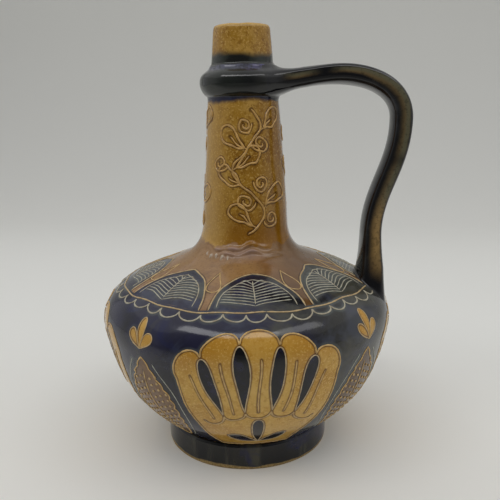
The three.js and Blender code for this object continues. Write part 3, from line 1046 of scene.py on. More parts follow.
def landing_edge():
    """Edge of the handle's lower end on the wall, in metres round the belly and up the wall."""
    rings, ways, length, _ = handle_rings()
    last, way = last_ring(rings, ways, length)
    _, turn, rise, aside, up = spread(rings[last], way, LANDING_FILLETS)
    return np.stack([(turn + aside) * BELLY_RADIUS, rise + up], -1)


LANDING_EDGE = landing_edge()


def handle_piece(material):
    """The handle with its smoothed ends. Each corner knows how far out it lies on the section and how
    far along the handle, from the collar and from the shoulder."""
    rings, ways, length, out_share = handle_rings()
    first = np.searchsorted(length, ROOT_FILLET_START)
    last, landing_way = last_ring(rings, ways, length)
    root_rows, root_pole = smoothed_end(rings[first], -ways[first], ROOT_FILLETS)
    landing_rows, landing_pole = smoothed_end(rings[last], landing_way, LANDING_FILLETS)
    grid = np.concatenate([root_rows[::-1], rings[first : last + 1], landing_rows])
    shape = closed_grid(grid, np.array([root_pole, landing_pole]))
    travelled = lengths_along(grid.mean(1))[:, None] + 0 * out_share
    values = {
        "outward": np.tile(out_share, len(grid)),
        "from_collar": travelled.ravel(),
        "from_shoulder": (travelled[-1] - travelled).ravel(),
    }
    values = {key: np.append(numbers, [0.0, 0.0]) for key, numbers in values.items()}
    new_piece("handle_glazed", shape, [material], "handle", values)


# Trailed slip

SLIP_WIDTH = 0.0011
SLIP_HEIGHT = 0.00055
SLIP_SINK = 0.00025
SLIP_STEP = 0.0009
SLIP_TAPER = 0.0016
SLIP_TIP = 0.25
SLIP_PULSES = ((0.14, 900, 40), (0.08, 2300, 0))
DOT_RADIUS = 0.0010
DOT_HEIGHT = 0.0007
DOT_RINGS = ((1.0, -0.3), (0.92, 0.35), (0.55, 0.85))
DOT_CORNERS = 8
DOT_TINT = 0.8
SLIP_DIVE = 0.0015
SLIP_CLEARANCE = 0.0012


def under_handle(turn, rise):
    """1 where the handle's lower end covers the wall, falling to 0 just outside its edge."""
    around = np.arctan2(np.sin(turn), np.cos(turn)) * BELLY_RADIUS
    depth = depth_inside(around, rise, wall(rise)[0] / BELLY_RADIUS, [LANDING_EDGE])
    return smoothstep(-SLIP_CLEARANCE, 0, depth)


def slip_string(path, radius, first, weight):
    """One string of slip: a low half-round profile carried along a path on the wall. Its width pulses as
    a sum of sines, it is thin at open ends, and it dives into the wall where the handle covers it."""
    closed = np.allclose(path[0], path[-1])
    rough_turn = first + path[:, 0] / radius
    aside, up = wobble(rough_turn, path[:, 1])
    on_wall = np.stack([rough_turn + aside / wall(path[:, 1])[0], path[:, 1] + up], -1)
    travelled = lengths_along(skin(on_wall[:, 0], on_wall[:, 1]))
    count = max(int(round(travelled[-1] / SLIP_STEP)), 4) + 1
    marks = np.linspace(0, travelled[-1], count)
    turn, rise = (np.interp(marks, travelled, on_wall[:, k]) for k in (0, 1))
    if closed:
        turn, rise, marks = turn[:-1], rise[:-1], marks[:-1]
    centre = skin(turn, rise, -SLIP_DIVE * under_handle(turn, rise))
    normal = skin_normal(turn, rise)
    if closed:
        direction = np.roll(centre, -1, axis=0) - np.roll(centre, 1, axis=0)
    else:
        direction = np.gradient(centre, axis=0)
    side = np.cross(normal, direction)
    side /= np.linalg.norm(side, axis=1)[:, None] + 1e-12
    pulses = [share * np.sin(pace * marks + shift * turn[0]) for share, pace, shift in SLIP_PULSES]
    swell = weight * (1 + sum(pulses))
    if not closed:
        to_end = np.minimum(marks, travelled[-1] - marks)
        swell = swell * (SLIP_TIP + (1 - SLIP_TIP) * smoothstep(0, SLIP_TAPER, to_end))
    angle = np.append(np.linspace(0, np.pi, 5), 1.5 * np.pi)
    across = SLIP_WIDTH / 2 * np.cos(angle)
    lift = np.where(angle > np.pi, -SLIP_SINK, SLIP_HEIGHT * np.sin(angle) - SLIP_SINK / 2)
    grid = centre[:, None] + swell[:, None, None] * (
        across[None, :, None] * side[:, None] + lift[None, :, None] * normal[:, None]
    )
    crest = np.clip(np.sin(angle), 0, 1)[None, :] + 0 * swell[:, None]
    poles = None if closed else centre[[0, -1]]
    return grid, crest.ravel(), poles


def slip_dots(places):
    """Low domes: rings of corners and a top, set square on the wall at each (turn, rise)."""
    turn, rise = places[:, 0], places[:, 1]
    centre, normal = skin(turn, rise), skin_normal(turn, rise)
    round_way = np.stack([-np.sin(turn), np.cos(turn), 0 * turn], -1)
    up_way = np.cross(normal, round_way)
    angle = np.linspace(0, FULL_TURN, DOT_CORNERS, endpoint=False)
    rings = [
        np.stack([out * np.cos(angle), out * np.sin(angle), up + 0 * angle], -1) for out, up in DOT_RINGS
    ]
    corner = np.concatenate([*rings, [[0, 0, 1]]]) * [DOT_RADIUS, DOT_RADIUS, DOT_HEIGHT]
    axes = np.stack([round_way, up_way, normal], 1)
    vertices = centre[:, None] + np.einsum("ck,nkd->ncd", corner, axes)
    top = len(corner) - 1
    dome = pole_faces(top, top - DOT_CORNERS, DOT_CORNERS, True)
    second = np.arange(DOT_CORNERS - 1, 1, -1)
    floor = np.stack([0 * second, second, second - 1], -1)
    numbers = len(corner) * np.arange(len(places))[:, None, None]
    quads = quads_of_grid(len(DOT_RINGS), DOT_CORNERS, False)[None] + numbers
    triangles = np.concatenate([dome, floor])[None] + numbers
    crest = np.tile(np.sqrt(np.clip(corner[:, 2] / DOT_HEIGHT, 0, 1)), len(places))
    return (vertices.reshape(-1, 3), quads.reshape(-1, 4), triangles.reshape(-1, 3)), crest


def slip_piece(name, strings, dots, material):
    """All strings and dots of one area as one mesh, with crest height and tint as attributes."""
    shapes, crests, tints = [], [], []
    for path, radius, first, tint, weight in strings:
        grid, crest, poles = slip_string(path, radius, first, weight)
        shapes.append(closed_grid(grid, poles))
        count = len(shapes[-1][0])
        crests.append(np.pad(crest, (0, count - len(crest))))
        tints.append(np.full(count, tint))
    if len(dots):
        shape, crest = slip_dots(dots)
        shapes.append(shape)
        crests.append(crest)
        tints.append(np.full(len(crest), DOT_TINT))
    starts = np.cumsum([0] + [len(shape[0]) for shape in shapes])
    quads = [shape[1] + start for shape, start in zip(shapes, starts)]
    triangles = [shape[2] + start for shape, start in zip(shapes, starts)]
    vertices = [shape[0] for shape in shapes]
    whole = tuple(np.concatenate(part) for part in (vertices, quads, triangles))
    values = {"crest": np.concatenate(crests), "tint": np.concatenate(tints)}
    new_piece(name, whole, [material], values=values)


def repeats(plan):
    """Every line of a plan at each of its repeats round the jug, but for those the handle covers."""
    radius = plan["radius"]
    strings = []
    for first in plan["first"] + np.arange(plan["count"]) * FULL_TURN / plan["count"]:
        for path, tint, weight in plan["lines"]:
            covered = under_handle(first + path[:, 0] / radius, path[:, 1])
            if covered.min() < 1:
                strings.append((path, radius, first, tint, weight))
    return strings


def belly_dots():
    """Dots on the leaves, in slanting rows on either side of the stem."""
    flat = []
    for t in np.linspace(*LEAF_DOT_SPAN, LEAF_DOT_ROWS):
        for k in range(1, int(leaf_half(t) / LEAF_DOT_STEP) + 1):
            aside = (k - LEAF_DOT_INSET) * LEAF_DOT_STEP
            height = leaf_height(t) + LEAF_DOT_CLIMB * k
            flat += [(FAN_PITCH / 2 + side * aside, height) for side in (-1, 1)]
    flat = np.array(flat)
    firsts = FAN_FIRST + np.arange(FANS) * FULL_TURN / FANS
    turn = firsts[:, None] + flat[:, 0] / BELLY_RADIUS
    return np.stack([turn, flat[:, 1] + 0 * turn], -1).reshape(-1, 2)


# Glazes


def srgb(red, green, blue):
    """Linear colour of an eight-bit screen colour."""
    share = np.array([red, green, blue]) / 255
    linear = np.where(share <= 0.04045, share / 12.92, ((share + 0.055) / 1.055) ** 2.4)
    return (*linear.tolist(), 1.0)


NIGHT = srgb(11, 11, 15)
PITCH = srgb(22, 23, 20)
VIOLET = srgb(33, 33, 57)
COBALT = srgb(23, 27, 64)
SLATE = srgb(62, 68, 88)
HEATHER = srgb(90, 90, 110)
INDIGO = srgb(70, 64, 112)
OLIVE = srgb(72, 71, 60)
MOSS = srgb(40, 46, 40)
LICHEN = srgb(82, 88, 86)
BUFF = srgb(206, 162, 73)
BUFF_PALE = srgb(218, 179, 96)
BUFF_DEEP = srgb(186, 137, 48)
BUFF_AMBER = srgb(182, 126, 40)
HONEY = srgb(164, 121, 38)
HONEY_PALE = srgb(196, 156, 80)
HONEY_DEEP = srgb(128, 84, 12)
AMBER = srgb(138, 90, 9)
BROWN = srgb(155, 118, 74)
BROWN_DEEP = srgb(116, 84, 54)
# Painted shade: darker brown laid over the right side of the brown glaze
PAINTED_SHADE_BROWN = srgb(94, 64, 32)
RUST = srgb(142, 94, 52)
MAUVE = srgb(164, 136, 124)
BEAD_PALE = srgb(206, 194, 176)
LEAF_BROWN = srgb(150, 140, 130)
UMBER = srgb(104, 70, 40)
IRON = srgb(52, 34, 20)
INK = srgb(34, 36, 40)
HANDLE_OLIVE = srgb(98, 94, 72)
HANDLE_BROWN = srgb(112, 90, 56)
HANDLE_TAN = srgb(166, 132, 78)
SLIP_GREY = srgb(176, 178, 164)
SLIP_TAN = srgb(212, 174, 108)
SLIP_HONEY = srgb(206, 162, 90)
BARE_CLAY = srgb(172, 146, 94)
BARE_CLAY_DEEP = srgb(130, 106, 62)


class Glaze:
    """A material whose nodes are added one call at a time."""

    def __init__(self, name):
        self.material = bpy.data.materials.new(name)
        self.material.use_nodes = True
        self.tree = self.material.node_tree
        self.tree.nodes.clear()
        self.place = self.node("TexCoord").outputs["Object"]

    def node(self, kind, inputs=None, **settings):
        """Adds a node with its settings and its inputs, which are sockets to link or plain values."""
        made = self.tree.nodes.new("ShaderNode" + kind)
        for key, value in settings.items():
            setattr(made, key, value)
        for key, value in (inputs or {}).items():
            if isinstance(value, bpy.types.NodeSocket):
                self.tree.links.new(value, made.inputs[key])
            else:
                made.inputs[key].default_value = value
        return made

    def noise(self, scale, detail=3.0, roughness=0.55, distortion=0.0, place=None):
        """Clouds from 0 to 1, so many to the metre."""
        inputs = {
            "Vector": place or self.place,
            "Scale": scale,
            "Detail": detail,
            "Roughness": roughness,
            "Distortion": distortion,
        }
        return self.node("TexNoise", inputs).outputs["Fac"]

    def band(self, value, low, high, most=1.0):
        """Zero below low, the most above high, smooth between; reversed when low is above high."""
        inputs = {"Value": value, "From Min": low, "From Max": high, "To Max": most}
        return self.node("MapRange", inputs, interpolation_type="SMOOTHSTEP").outputs["Result"]

    def math(self, operation, first, second=0.0):
        """One sum on two values."""
        return self.node("Math", {0: first, 1: second}, operation=operation).outputs[0]

    def times(self, first, second):
        """The product of two values."""
        return self.math("MULTIPLY", first, second)

    def mix(self, share, first, second, blend="MIX"):
        """A share of the way from the first colour to the second."""
        made = self.node("Mix", {0: share, 6: first, 7: second}, data_type="RGBA", blend_type=blend)
        return made.outputs[2]

    def attribute(self, name):
        """A value that the corners of a piece carry."""
        return self.node("Attribute", attribute_name=name).outputs["Fac"]

    def raised(self, value, reach, scale, detail=3.0):
        """A value with a noise of the given reach added to it, as an edge wanders."""
        return self.math("ADD", value, self.times(self.noise(scale, detail, 0.6), reach))

    def height(self):
        """Height above the ground."""
        return self.node("SeparateXYZ", {0: self.place}).outputs["Z"]

    def finish(self, colour, roughness, bumps, depth):
        """Closes the material, with bumps of a depth in metres."""
        bump = self.node("Bump", {"Height": bumps, "Distance": depth, "Strength": 1.0})
        inputs = {"Base Color": colour, "Roughness": roughness, "Normal": bump.outputs["Normal"]}
        shader = self.node("BsdfPrincipled", inputs)
        output = self.node("OutputMaterial")
        self.tree.links.new(shader.outputs["BSDF"], output.inputs["Surface"])
        return self.material

    def side(self):
        """Share of the way from the left of the jug, seen from the front, to its right."""
        across = self.node("SeparateXYZ", {0: self.place}).outputs["X"]
        return self.band(across, -BELLY_RADIUS, BELLY_RADIUS)

    def cobalt(self):
        """Night-blue glaze: black where it is thick, violet clouds mostly on the left, cobalt pools, and
        slate hazes and olive breaks mostly on the right."""
        right = self.side()
        clouds = self.math("SUBTRACT", self.noise(15, 4, 0.6, 0.8), self.times(right, 0.12))
        colour = self.mix(self.band(clouds, 0.30, 0.56), NIGHT, VIOLET)
        pools = self.noise(34, 3, 0.55, 1.2)
        colour = self.mix(self.band(pools, 0.55, 0.72), colour, COBALT)
        hazes = self.math("ADD", self.noise(31, 4, 0.6, 0.7), self.times(right, 0.16))
        colour = self.mix(self.band(hazes, 0.56, 0.74, 0.7), colour, SLATE)
        colour = self.mix(self.band(right, 0.75, 1.0, 0.35), colour, OLIVE)
        breaks = self.math("ADD", self.noise(19, 5, 0.62, 0.9), self.times(right, 0.16))
        return self.mix(self.band(breaks, 0.56, 0.74, 0.8), colour, OLIVE)

    def ink(self):
        """Thick night-blue strokes, a little paler where they run thin."""
        return self.mix(self.band(self.noise(120, 3, 0.6), 0.48, 0.72), NIGHT, VIOLET)

    def specked(self, pale, middle, deep):
        """Transparent glaze over clay: broad clouds, a fine grain and scattered iron specks."""
        clouds = self.noise(22, 4, 0.6, 0.4)
        colour = self.mix(self.band(clouds, 0.34, 0.52), deep, middle)
        colour = self.mix(self.band(clouds, 0.52, 0.72), colour, pale)
        mottle = self.noise(330, 3, 0.6)
        colour = self.mix(self.band(mottle, 0.52, 0.36, 0.6), colour, deep)
        grain = self.noise(760, 2, 0.7)
        colour = self.mix(self.band(grain, 0.53, 0.64, 0.9), colour, pale)
        specks = self.noise(520, 1, 0.5)
        return self.mix(self.band(specks, 0.73, 0.80, 0.55), colour, IRON)

    def brown(self):
        """Warm brown glaze, mauve where it is thick, with fine mottling, and painted shade towards the
        right.
        """
        clouds = self.noise(30, 5, 0.65, 0.8)
        colour = self.mix(self.band(clouds, 0.30, 0.58), BROWN_DEEP, BROWN)
        thick = self.math("SUBTRACT", self.noise(48, 3, 0.6, 0.5), self.times(self.side(), 0.1))
        colour = self.mix(self.band(thick, 0.46, 0.66, 0.35), colour, MAUVE)
        rust = self.noise(27, 4, 0.62, 0.6)
        colour = self.mix(self.band(rust, 0.54, 0.70, 0.45), colour, RUST)
        grain = self.noise(700, 2, 0.7)
        colour = self.mix(self.band(grain, 0.48, 0.34, 0.45), colour, BROWN_DEEP)
        # Painted shade: the brown darkens towards the right of the jug
        return self.mix(self.band(self.side(), 0.50, 0.76, 0.75), colour, PAINTED_SHADE_BROWN)

    def runs(self, colour):
        """A colour that turns mauve where the glaze lies thick and pale on its beads."""
        colour = self.mix(self.band(self.attribute("thick"), 0.15, 0.8, 0.85), colour, MAUVE)
        return self.mix(self.band(self.attribute("bead"), 0.10, 0.5, 0.85), colour, BEAD_PALE)

    def ripple(self):
        """Faint orange-peel of a glossy glaze with a slower swell under it."""
        return self.math("ADD", self.noise(90, 2, 0.5), self.times(self.noise(420, 2, 0.5), 0.25))


EDGE = 0.0003
RIPPLE = 0.00012
DEEP_RIPPLE = 0.00015
CLAY_GRAIN = 0.00015
SLIP_GRAIN = 0.00008
PAPER_GRAIN = 0.00002

# Heights between which one glaze gives way to the next
LEAF_SHADE = (0.112, 0.096)
BUFF_GATHERS = (0.084, 0.098)
AMBER_RUN = (0.1740, 0.1520)
NECK_FOOT = (0.1482, 0.1468)
UNDER_COLLAR = (0.2262, 0.2294)
COLLAR_HOLLOW = (0.2432, 0.2466)
MOUTH_FOOT = (0.2590, 0.2542)
THIN_LIP = (RIM - 0.0026, RIM - 0.0006)
WIPED_EDGE = (0.0072, 0.0062)

# Distances from a slip line between which the glaze thins or pools
THIN_BESIDE = (0.0024, 0.0007)
POOL_ON_BELLY = (0.0015, 0.0005)
POOL_ON_NECK = (0.0016, 0.0006)

# Strip along the handle: lengths over which it starts, widens, turns tan and ends, shares of the section
# at its edges and over its shade, how much wider it gets, and breaks as (place, reach, strength)
STRIP_START = (0.006, 0.018)
STRIP_WIDENS = (0.045, 0.085)
STRIP_TAN = (0.066, 0.040)
STRIP_END = (0.005, 0.020)
STRIP_INNER_EDGE = (-0.26, 0.10)
STRIP_OUTER_EDGE = (0.54, 0.28)
STRIP_SHADE = (0.25, -0.45)
STRIP_WIDER_INWARD = 0.34
STRIP_WIDER_OUTWARD = 0.16
STRIP_BREAKS = ((0.0345, 0.0150, 1.0), (0.1190, 0.008, 0.6))


def belly_glaze():
    """Cobalt ground that thins grey-green along the slip lines, brown leaves and shoulder, buff fans;
    on brown and buff the glaze pools dark beside each line, and folds of thick glaze turn mauve."""
    glaze = Glaze("belly_glaze")
    gap = glaze.attribute("line")
    broken = glaze.band(glaze.noise(40, 3, 0.6), 0.38, 0.62, 0.7)
    thin = glaze.times(glaze.band(gap, *THIN_BESIDE), broken)
    colour = glaze.mix(thin, glaze.cobalt(), LICHEN)
    colour = glaze.mix(glaze.band(glaze.attribute("ink"), -EDGE, EDGE), colour, glaze.ink())
    is_brown = glaze.band(glaze.attribute("brown"), -EDGE, EDGE)
    in_leaves = glaze.band(glaze.height(), *LEAF_SHADE, 0.5)
    brown = glaze.mix(in_leaves, glaze.brown(), LEAF_BROWN, "MULTIPLY")
    colour = glaze.mix(is_brown, colour, brown)
    is_buff = glaze.band(glaze.attribute("buff"), -EDGE, EDGE)
    buff = glaze.specked(BUFF_PALE, BUFF, BUFF_DEEP)
    gathered = glaze.band(glaze.raised(glaze.height(), 0.008, 40), *BUFF_GATHERS, 0.35)
    colour = glaze.mix(is_buff, colour, glaze.mix(gathered, buff, BUFF_AMBER))
    brown_or_buff = glaze.math("MAXIMUM", is_brown, is_buff)
    pool = glaze.times(brown_or_buff, glaze.band(gap, *POOL_ON_BELLY, 0.8))
    colour = glaze.mix(pool, colour, UMBER, "MULTIPLY")
    roughness = glaze.raised(0.05, 0.14, 60)
    return glaze.finish(glaze.runs(colour), roughness, glaze.ripple(), RIPPLE)


def neck_glaze():
    """Honey glaze with iron specks, run together amber above a wandering edge at the foot of the neck,
    brown and mauve below that edge, and cobalt under the collar. Painted light makes it paler on the
    left, and painted shade makes it deeper on the right, towards the handle."""
    glaze = Glaze("neck_glaze")
    side = glaze.side()
    colour = glaze.specked(HONEY_PALE, HONEY, HONEY_DEEP)
    # Painted light: paler honey on the left of the neck
    colour = glaze.mix(glaze.band(side, 0.46, 0.30, 0.6), colour, HONEY_PALE)
    # Painted shade: deeper honey on the right of the neck, towards the handle
    colour = glaze.mix(glaze.band(side, 0.54, 0.66, 0.45), colour, HONEY_DEEP)
    low = glaze.raised(glaze.height(), 0.018, 55)
    run = glaze.times(glaze.band(low, *AMBER_RUN, 0.75), glaze.band(side, 0.34, 0.44))
    colour = glaze.mix(run, colour, AMBER)
    pool = glaze.band(glaze.attribute("line"), *POOL_ON_NECK, 0.75)
    colour = glaze.mix(pool, colour, UMBER, "MULTIPLY")
    colour = glaze.mix(glaze.band(low, *NECK_FOOT), colour, glaze.runs(glaze.brown()))
    high = glaze.raised(glaze.height(), 0.006, 60)
    colour = glaze.mix(glaze.band(high, *UNDER_COLLAR), colour, glaze.cobalt())
    roughness = glaze.raised(0.08, 0.16, 60)
    return glaze.finish(colour, roughness, glaze.ripple(), RIPPLE)


def mouth_glaze():
    """Honey glaze, pale where it is thin on the lip, above a wandering edge of moss-green and cobalt."""
    glaze = Glaze("mouth_glaze")
    edge = glaze.raised(glaze.height(), 0.008, 48, 2)
    colour = glaze.specked(HONEY_PALE, HONEY, HONEY_DEEP)
    colour = glaze.mix(glaze.band(glaze.height(), *THIN_LIP, 0.55), colour, BUFF_PALE)
    dark = glaze.mix(glaze.band(glaze.noise(60, 3, 0.6), 0.40, 0.56), PITCH, MOSS)
    colour = glaze.mix(glaze.band(edge, *MOUTH_FOOT), colour, dark)
    roughness = glaze.raised(0.14, 0.16, 60)
    return glaze.finish(colour, roughness, glaze.ripple(), RIPPLE)


def collar_glaze():
    """Glaze almost black on the bulge, moss-green on its left, and mottled grey in the hollow above it,
    indigo towards the handle."""
    glaze = Glaze("collar_glaze")
    colour = glaze.mix(glaze.band(glaze.noise(45, 3, 0.6), 0.42, 0.62), PITCH, NIGHT)
    colour = glaze.mix(glaze.band(glaze.noise(38, 3, 0.55, 1.2), 0.56, 0.72, 0.6), colour, COBALT)
    colour = glaze.mix(glaze.band(glaze.side(), 0.58, 0.42, 0.5), colour, MOSS)
    mottle = glaze.band(glaze.noise(170, 4, 0.65), 0.34, 0.58, 0.9)
    haze = glaze.mix(glaze.band(glaze.side(), 0.45, 0.56, 0.8), HEATHER, INDIGO)
    hollow = glaze.band(glaze.raised(glaze.height(), 0.003, 80), *COLLAR_HOLLOW)
    colour = glaze.mix(glaze.times(hollow, mottle), colour, haze)
    return glaze.finish(colour, glaze.raised(0.04, 0.10, 60), glaze.ripple(), DEEP_RIPPLE)


def handle_glaze():
    """Night-blue glaze that breaks olive and tan in a soft strip along the outer part of each side. The
    strip is narrow on the crown and broken there once, broad below the elbow and dimmed there once,
    darker on its inner part, and stops short of both ends."""
    glaze = Glaze("handle_glaze")
    from_collar = glaze.attribute("from_collar")
    from_shoulder = glaze.attribute("from_shoulder")
    drift = glaze.math("SUBTRACT", glaze.noise(34, 4, 0.65), 0.5)
    outward = glaze.math("ADD", glaze.attribute("outward"), glaze.times(drift, 0.5))
    broad = glaze.band(from_collar, *STRIP_WIDENS)
    from_inner = glaze.math("ADD", outward, glaze.times(broad, STRIP_WIDER_INWARD))
    from_outer = glaze.math("SUBTRACT", outward, glaze.times(broad, STRIP_WIDER_OUTWARD))
    strip = glaze.band(from_inner, *STRIP_INNER_EDGE)
    strip = glaze.times(strip, glaze.band(from_outer, *STRIP_OUTER_EDGE))
    strip = glaze.times(strip, glaze.band(from_collar, *STRIP_START))
    strip = glaze.times(strip, glaze.band(from_shoulder, *STRIP_END))
    for place, reach, strength in STRIP_BREAKS:
        to_break = glaze.math("ABSOLUTE", glaze.math("SUBTRACT", from_collar, place))
        dark = glaze.band(to_break, reach, 0.0, strength)
        strip = glaze.times(strip, glaze.math("SUBTRACT", 1.0, dark))
    strip = glaze.times(strip, glaze.band(glaze.noise(26, 3), 0.28, 0.48, 0.95))
    thin = glaze.mix(glaze.band(outward, 0.30, -0.10, 0.8), HANDLE_OLIVE, HANDLE_BROWN)
    thin = glaze.mix(glaze.band(from_shoulder, *STRIP_TAN, 0.75), thin, HANDLE_TAN)
    thin = glaze.mix(glaze.band(glaze.noise(420, 3, 0.7), 0.50, 0.36, 0.4), thin, PITCH)
    inward = glaze.times(glaze.band(outward, *STRIP_SHADE, 0.85), broad)
    thin = glaze.mix(inward, thin, PITCH)
    ground = glaze.mix(glaze.band(glaze.noise(30, 3, 0.6), 0.48, 0.68, 0.5), NIGHT, glaze.cobalt())
    colour = glaze.mix(strip, ground, thin)
    return glaze.finish(colour, glaze.raised(0.05, 0.10, 60), glaze.ripple(), DEEP_RIPPLE)


def clay(glaze):
    """Bare clay's colour, with a fine grain."""
    return glaze.mix(glaze.band(glaze.noise(900, 3, 0.7), 0.35, 0.65), BARE_CLAY_DEEP, BARE_CLAY)


def foot_glaze():
    """Night-blue glaze with upright olive runs and cobalt pools, wiped off unevenly at the ground."""
    glaze = Glaze("foot_glaze")
    drawn_out = glaze.node("VectorMath", {0: glaze.place, 1: (1.0, 1.0, 0.15)}, operation="MULTIPLY")
    runs = glaze.noise(75, 3, 0.6, place=drawn_out.outputs["Vector"])
    ground = glaze.mix(glaze.band(glaze.noise(40, 3, 0.6), 0.32, 0.52), PITCH, NIGHT)
    colour = glaze.mix(glaze.band(runs, 0.46, 0.66, 0.7), ground, OLIVE)
    colour = glaze.mix(glaze.band(glaze.noise(33, 3, 0.6, 0.6), 0.52, 0.68, 0.8), colour, COBALT)
    uneven = glaze.raised(glaze.raised(glaze.height(), 0.0024, 70), 0.0060, 16)
    wiped = glaze.band(uneven, *WIPED_EDGE)
    colour = glaze.mix(wiped, colour, clay(glaze))
    roughness = glaze.math("ADD", glaze.times(wiped, 0.65), 0.14)
    return glaze.finish(colour, roughness, glaze.ripple(), RIPPLE)


def bare_clay():
    """Unglazed clay under the foot."""
    glaze = Glaze("bare_clay")
    return glaze.finish(clay(glaze), 0.85, glaze.noise(700, 3, 0.7), CLAY_GRAIN)


def inside_glaze():
    """Thin brown glaze inside the jug."""
    glaze = Glaze("inside_glaze")
    return glaze.finish(glaze.specked(HONEY, HONEY_DEEP, IRON), 0.25, glaze.ripple(), RIPPLE)


def slip_glaze(name, thin, thick, side):
    """Pale slip on the crest of a line, worn in places, with glaze lying dark against its sides."""
    glaze = Glaze(name)
    pale = glaze.mix(glaze.attribute("tint"), thin, thick)
    pale = glaze.mix(glaze.band(glaze.noise(260, 3, 0.6), 0.42, 0.66, 0.4), pale, BROWN_DEEP)
    colour = glaze.mix(glaze.band(glaze.attribute("crest"), 0.15, 0.7), side, pale)
    return glaze.finish(colour, 0.22, glaze.noise(500, 2, 0.5), SLIP_GRAIN)


# Pieces


def foot_piece():
    """Foot ring: a closed profile with a rounded toe and top edge, turned about the axis and set a
    little off it, away from the handle."""
    land_outer = FOOT_RADIUS - FOOT_LEDGE
    quarter = np.radians(np.linspace(0, 90, 12))
    toe_radius = land_outer + FOOT_LEDGE * np.sin(quarter)
    toe = np.stack([toe_radius, FOOT_TOE * (1 - np.cos(quarter))], -1)
    top_radius = land_outer - FOOT_TOP_DEPTH + (FOOT_LEDGE + FOOT_TOP_DEPTH) * np.cos(quarter)
    top = np.stack([top_radius, FOOT_TOP - FOOT_TOP_ROUND * (1 - np.sin(quarter))], -1)
    face = rows_through([toe[-1], top[0]], FOOT_FACE_ROW)[1:-1]
    inner_top = [UNDERSIDE_RADIUS + FOOT_LEDGE, UNDERSIDE - LUTE_GAP]
    inner = rows_through([inner_top, [land_outer - FOOT_LAND, 0.0]], FOOT_INNER_ROW)
    land = rows_through([inner[-1], toe[0]], FOOT_LAND_ROW)[1:-1]
    profile = np.concatenate([toe, face, top, inner, land])
    shape = closed_grid(spun(profile, FOOT_COLUMNS) - [FOOT_SHIFT, 0, 0])
    glazed_rows = len(toe) + len(face) + len(top)
    glazed_or_bare = np.ones(len(shape[1]), np.int32)
    glazed_or_bare[: glazed_rows * FOOT_COLUMNS] = 0
    materials = [foot_glaze(), bare_clay()]
    new_piece(
        "foot_ring_glazed", shape, materials, "foot_ring", face_materials=glazed_or_bare
    )


def bowl_underside():
    """Profile from near the axis along the flat underside, then up behind the foot's top edge."""
    edge = [FOOT_RADIUS - BOWL_TUCK, FOOT_TOP - BOWL_DROP]
    return rows_through([[POLE_RING, UNDERSIDE], [UNDERSIDE_RADIUS, UNDERSIDE], edge], UNDER_ROW)


def bowl_inside():
    """Profile down the bowl's inner wall to a cut corner, then along the floor to near the axis."""
    rows = inner_wall("belly_bowl", BELLY_WALL, BACK_ROW)
    rows = rows[rows[:, 1] > FLOOR + FLOOR_FILLET]
    last_radius = rows[-1, 0]
    corner = [last_radius - FLOOR_FILLET, FLOOR + FLOOR_EDGE_LIFT]
    floor_edge = [last_radius - FLOOR_EDGE_REACH * FLOOR_FILLET, FLOOR]
    floor = rows_through([floor_edge, [POLE_RING, FLOOR]], FLOOR_ROW)
    return np.concatenate([rows, [corner], floor])


def neck_inside():
    """Profile over the neck's top under the collar, then down its bore."""
    head = rows_through(
        [
            [neck_radius(COLLAR_BOTTOM) - LUTE_GAP, COLLAR_BOTTOM + LUTE_GAP],
            [NECK_TOP_RADIUS - LUTE_GAP, NECK_TOP],
            [NECK_BORE, NECK_TOP],
        ],
        BACK_ROW,
    )
    return np.concatenate([head, inner_wall("neck", NECK_WALL, BACK_ROW)[1:]])


def collar_inside():
    """Profile of the collar's hidden face: down the mouth's wall, a step out and down the neck's wall."""
    return rows_through(
        [
            [mouth_radius(COLLAR_TOP), COLLAR_TOP - LUTE_GAP],
            [MOUTH_BASE_RADIUS, NECK_TOP + LUTE_GAP],
            [NECK_TOP_RADIUS, NECK_TOP + LUTE_GAP],
            [neck_radius(COLLAR_BOTTOM), COLLAR_BOTTOM + LUTE_GAP],
        ],
        BACK_ROW,
    )


def mouth_inside():
    """Profile down the mouth's bore, out along its base and up inside the collar."""
    return rows_through(
        [
            WALL[-1] - [0, LIP_HEIGHT],
            [NECK_BORE, NECK_TOP + LUTE_GAP],
            [MOUTH_BASE_RADIUS - LUTE_GAP, NECK_TOP + LUTE_GAP],
            [mouth_radius(COLLAR_TOP) - LUTE_GAP, COLLAR_TOP - LUTE_GAP],
        ],
        BACK_ROW,
    )


def build_jug():
    """The jug's seven clay pieces in their glazes."""
    belly, inside, collar = belly_glaze(), inside_glaze(), collar_glaze()
    belly_grid = BELLY_ROW, BELLY_COLUMNS
    neck_grid = NECK_ROW, NECK_COLUMNS
    thrown_section(
        "belly_bowl", *belly_grid, bowl_inside(), [belly, inside], "cobalt_glaze",
        under=bowl_underside(), paint=belly_paint,
    )
    shoulder_inside = inner_wall("shoulder", BELLY_WALL, BACK_ROW)
    thrown_section(
        "shoulder", *belly_grid, shoulder_inside, [belly, inside], "brown_glaze", paint=belly_paint
    )
    thrown_section(
        "neck", *neck_grid, neck_inside(), [neck_glaze(), inside], "honey_glaze", paint=neck_paint
    )
    thrown_section("collar", *neck_grid, collar_inside(), [collar, collar], "dark_glaze")
    thrown_section("mouth", *neck_grid, mouth_inside(), [mouth_glaze(), inside], "honey_glaze")
    foot_piece()
    handle_piece(handle_glaze())


def build_slip():
    """Slip lines and dots of belly, shoulder and neck."""
    pale = slip_glaze("slip_on_belly", SLIP_GREY, SLIP_TAN, INK)
    slip_piece("belly_slip", repeats(BELLY), belly_dots(), pale)
    slip_piece("shoulder_slip", repeats(PETAL) + border_rings(), [], pale)
    honey = slip_glaze("slip_on_neck", SLIP_HONEY, SLIP_HONEY, UMBER)
    slip_piece("neck_slip", repeats(VINE), [], honey)


# Studio

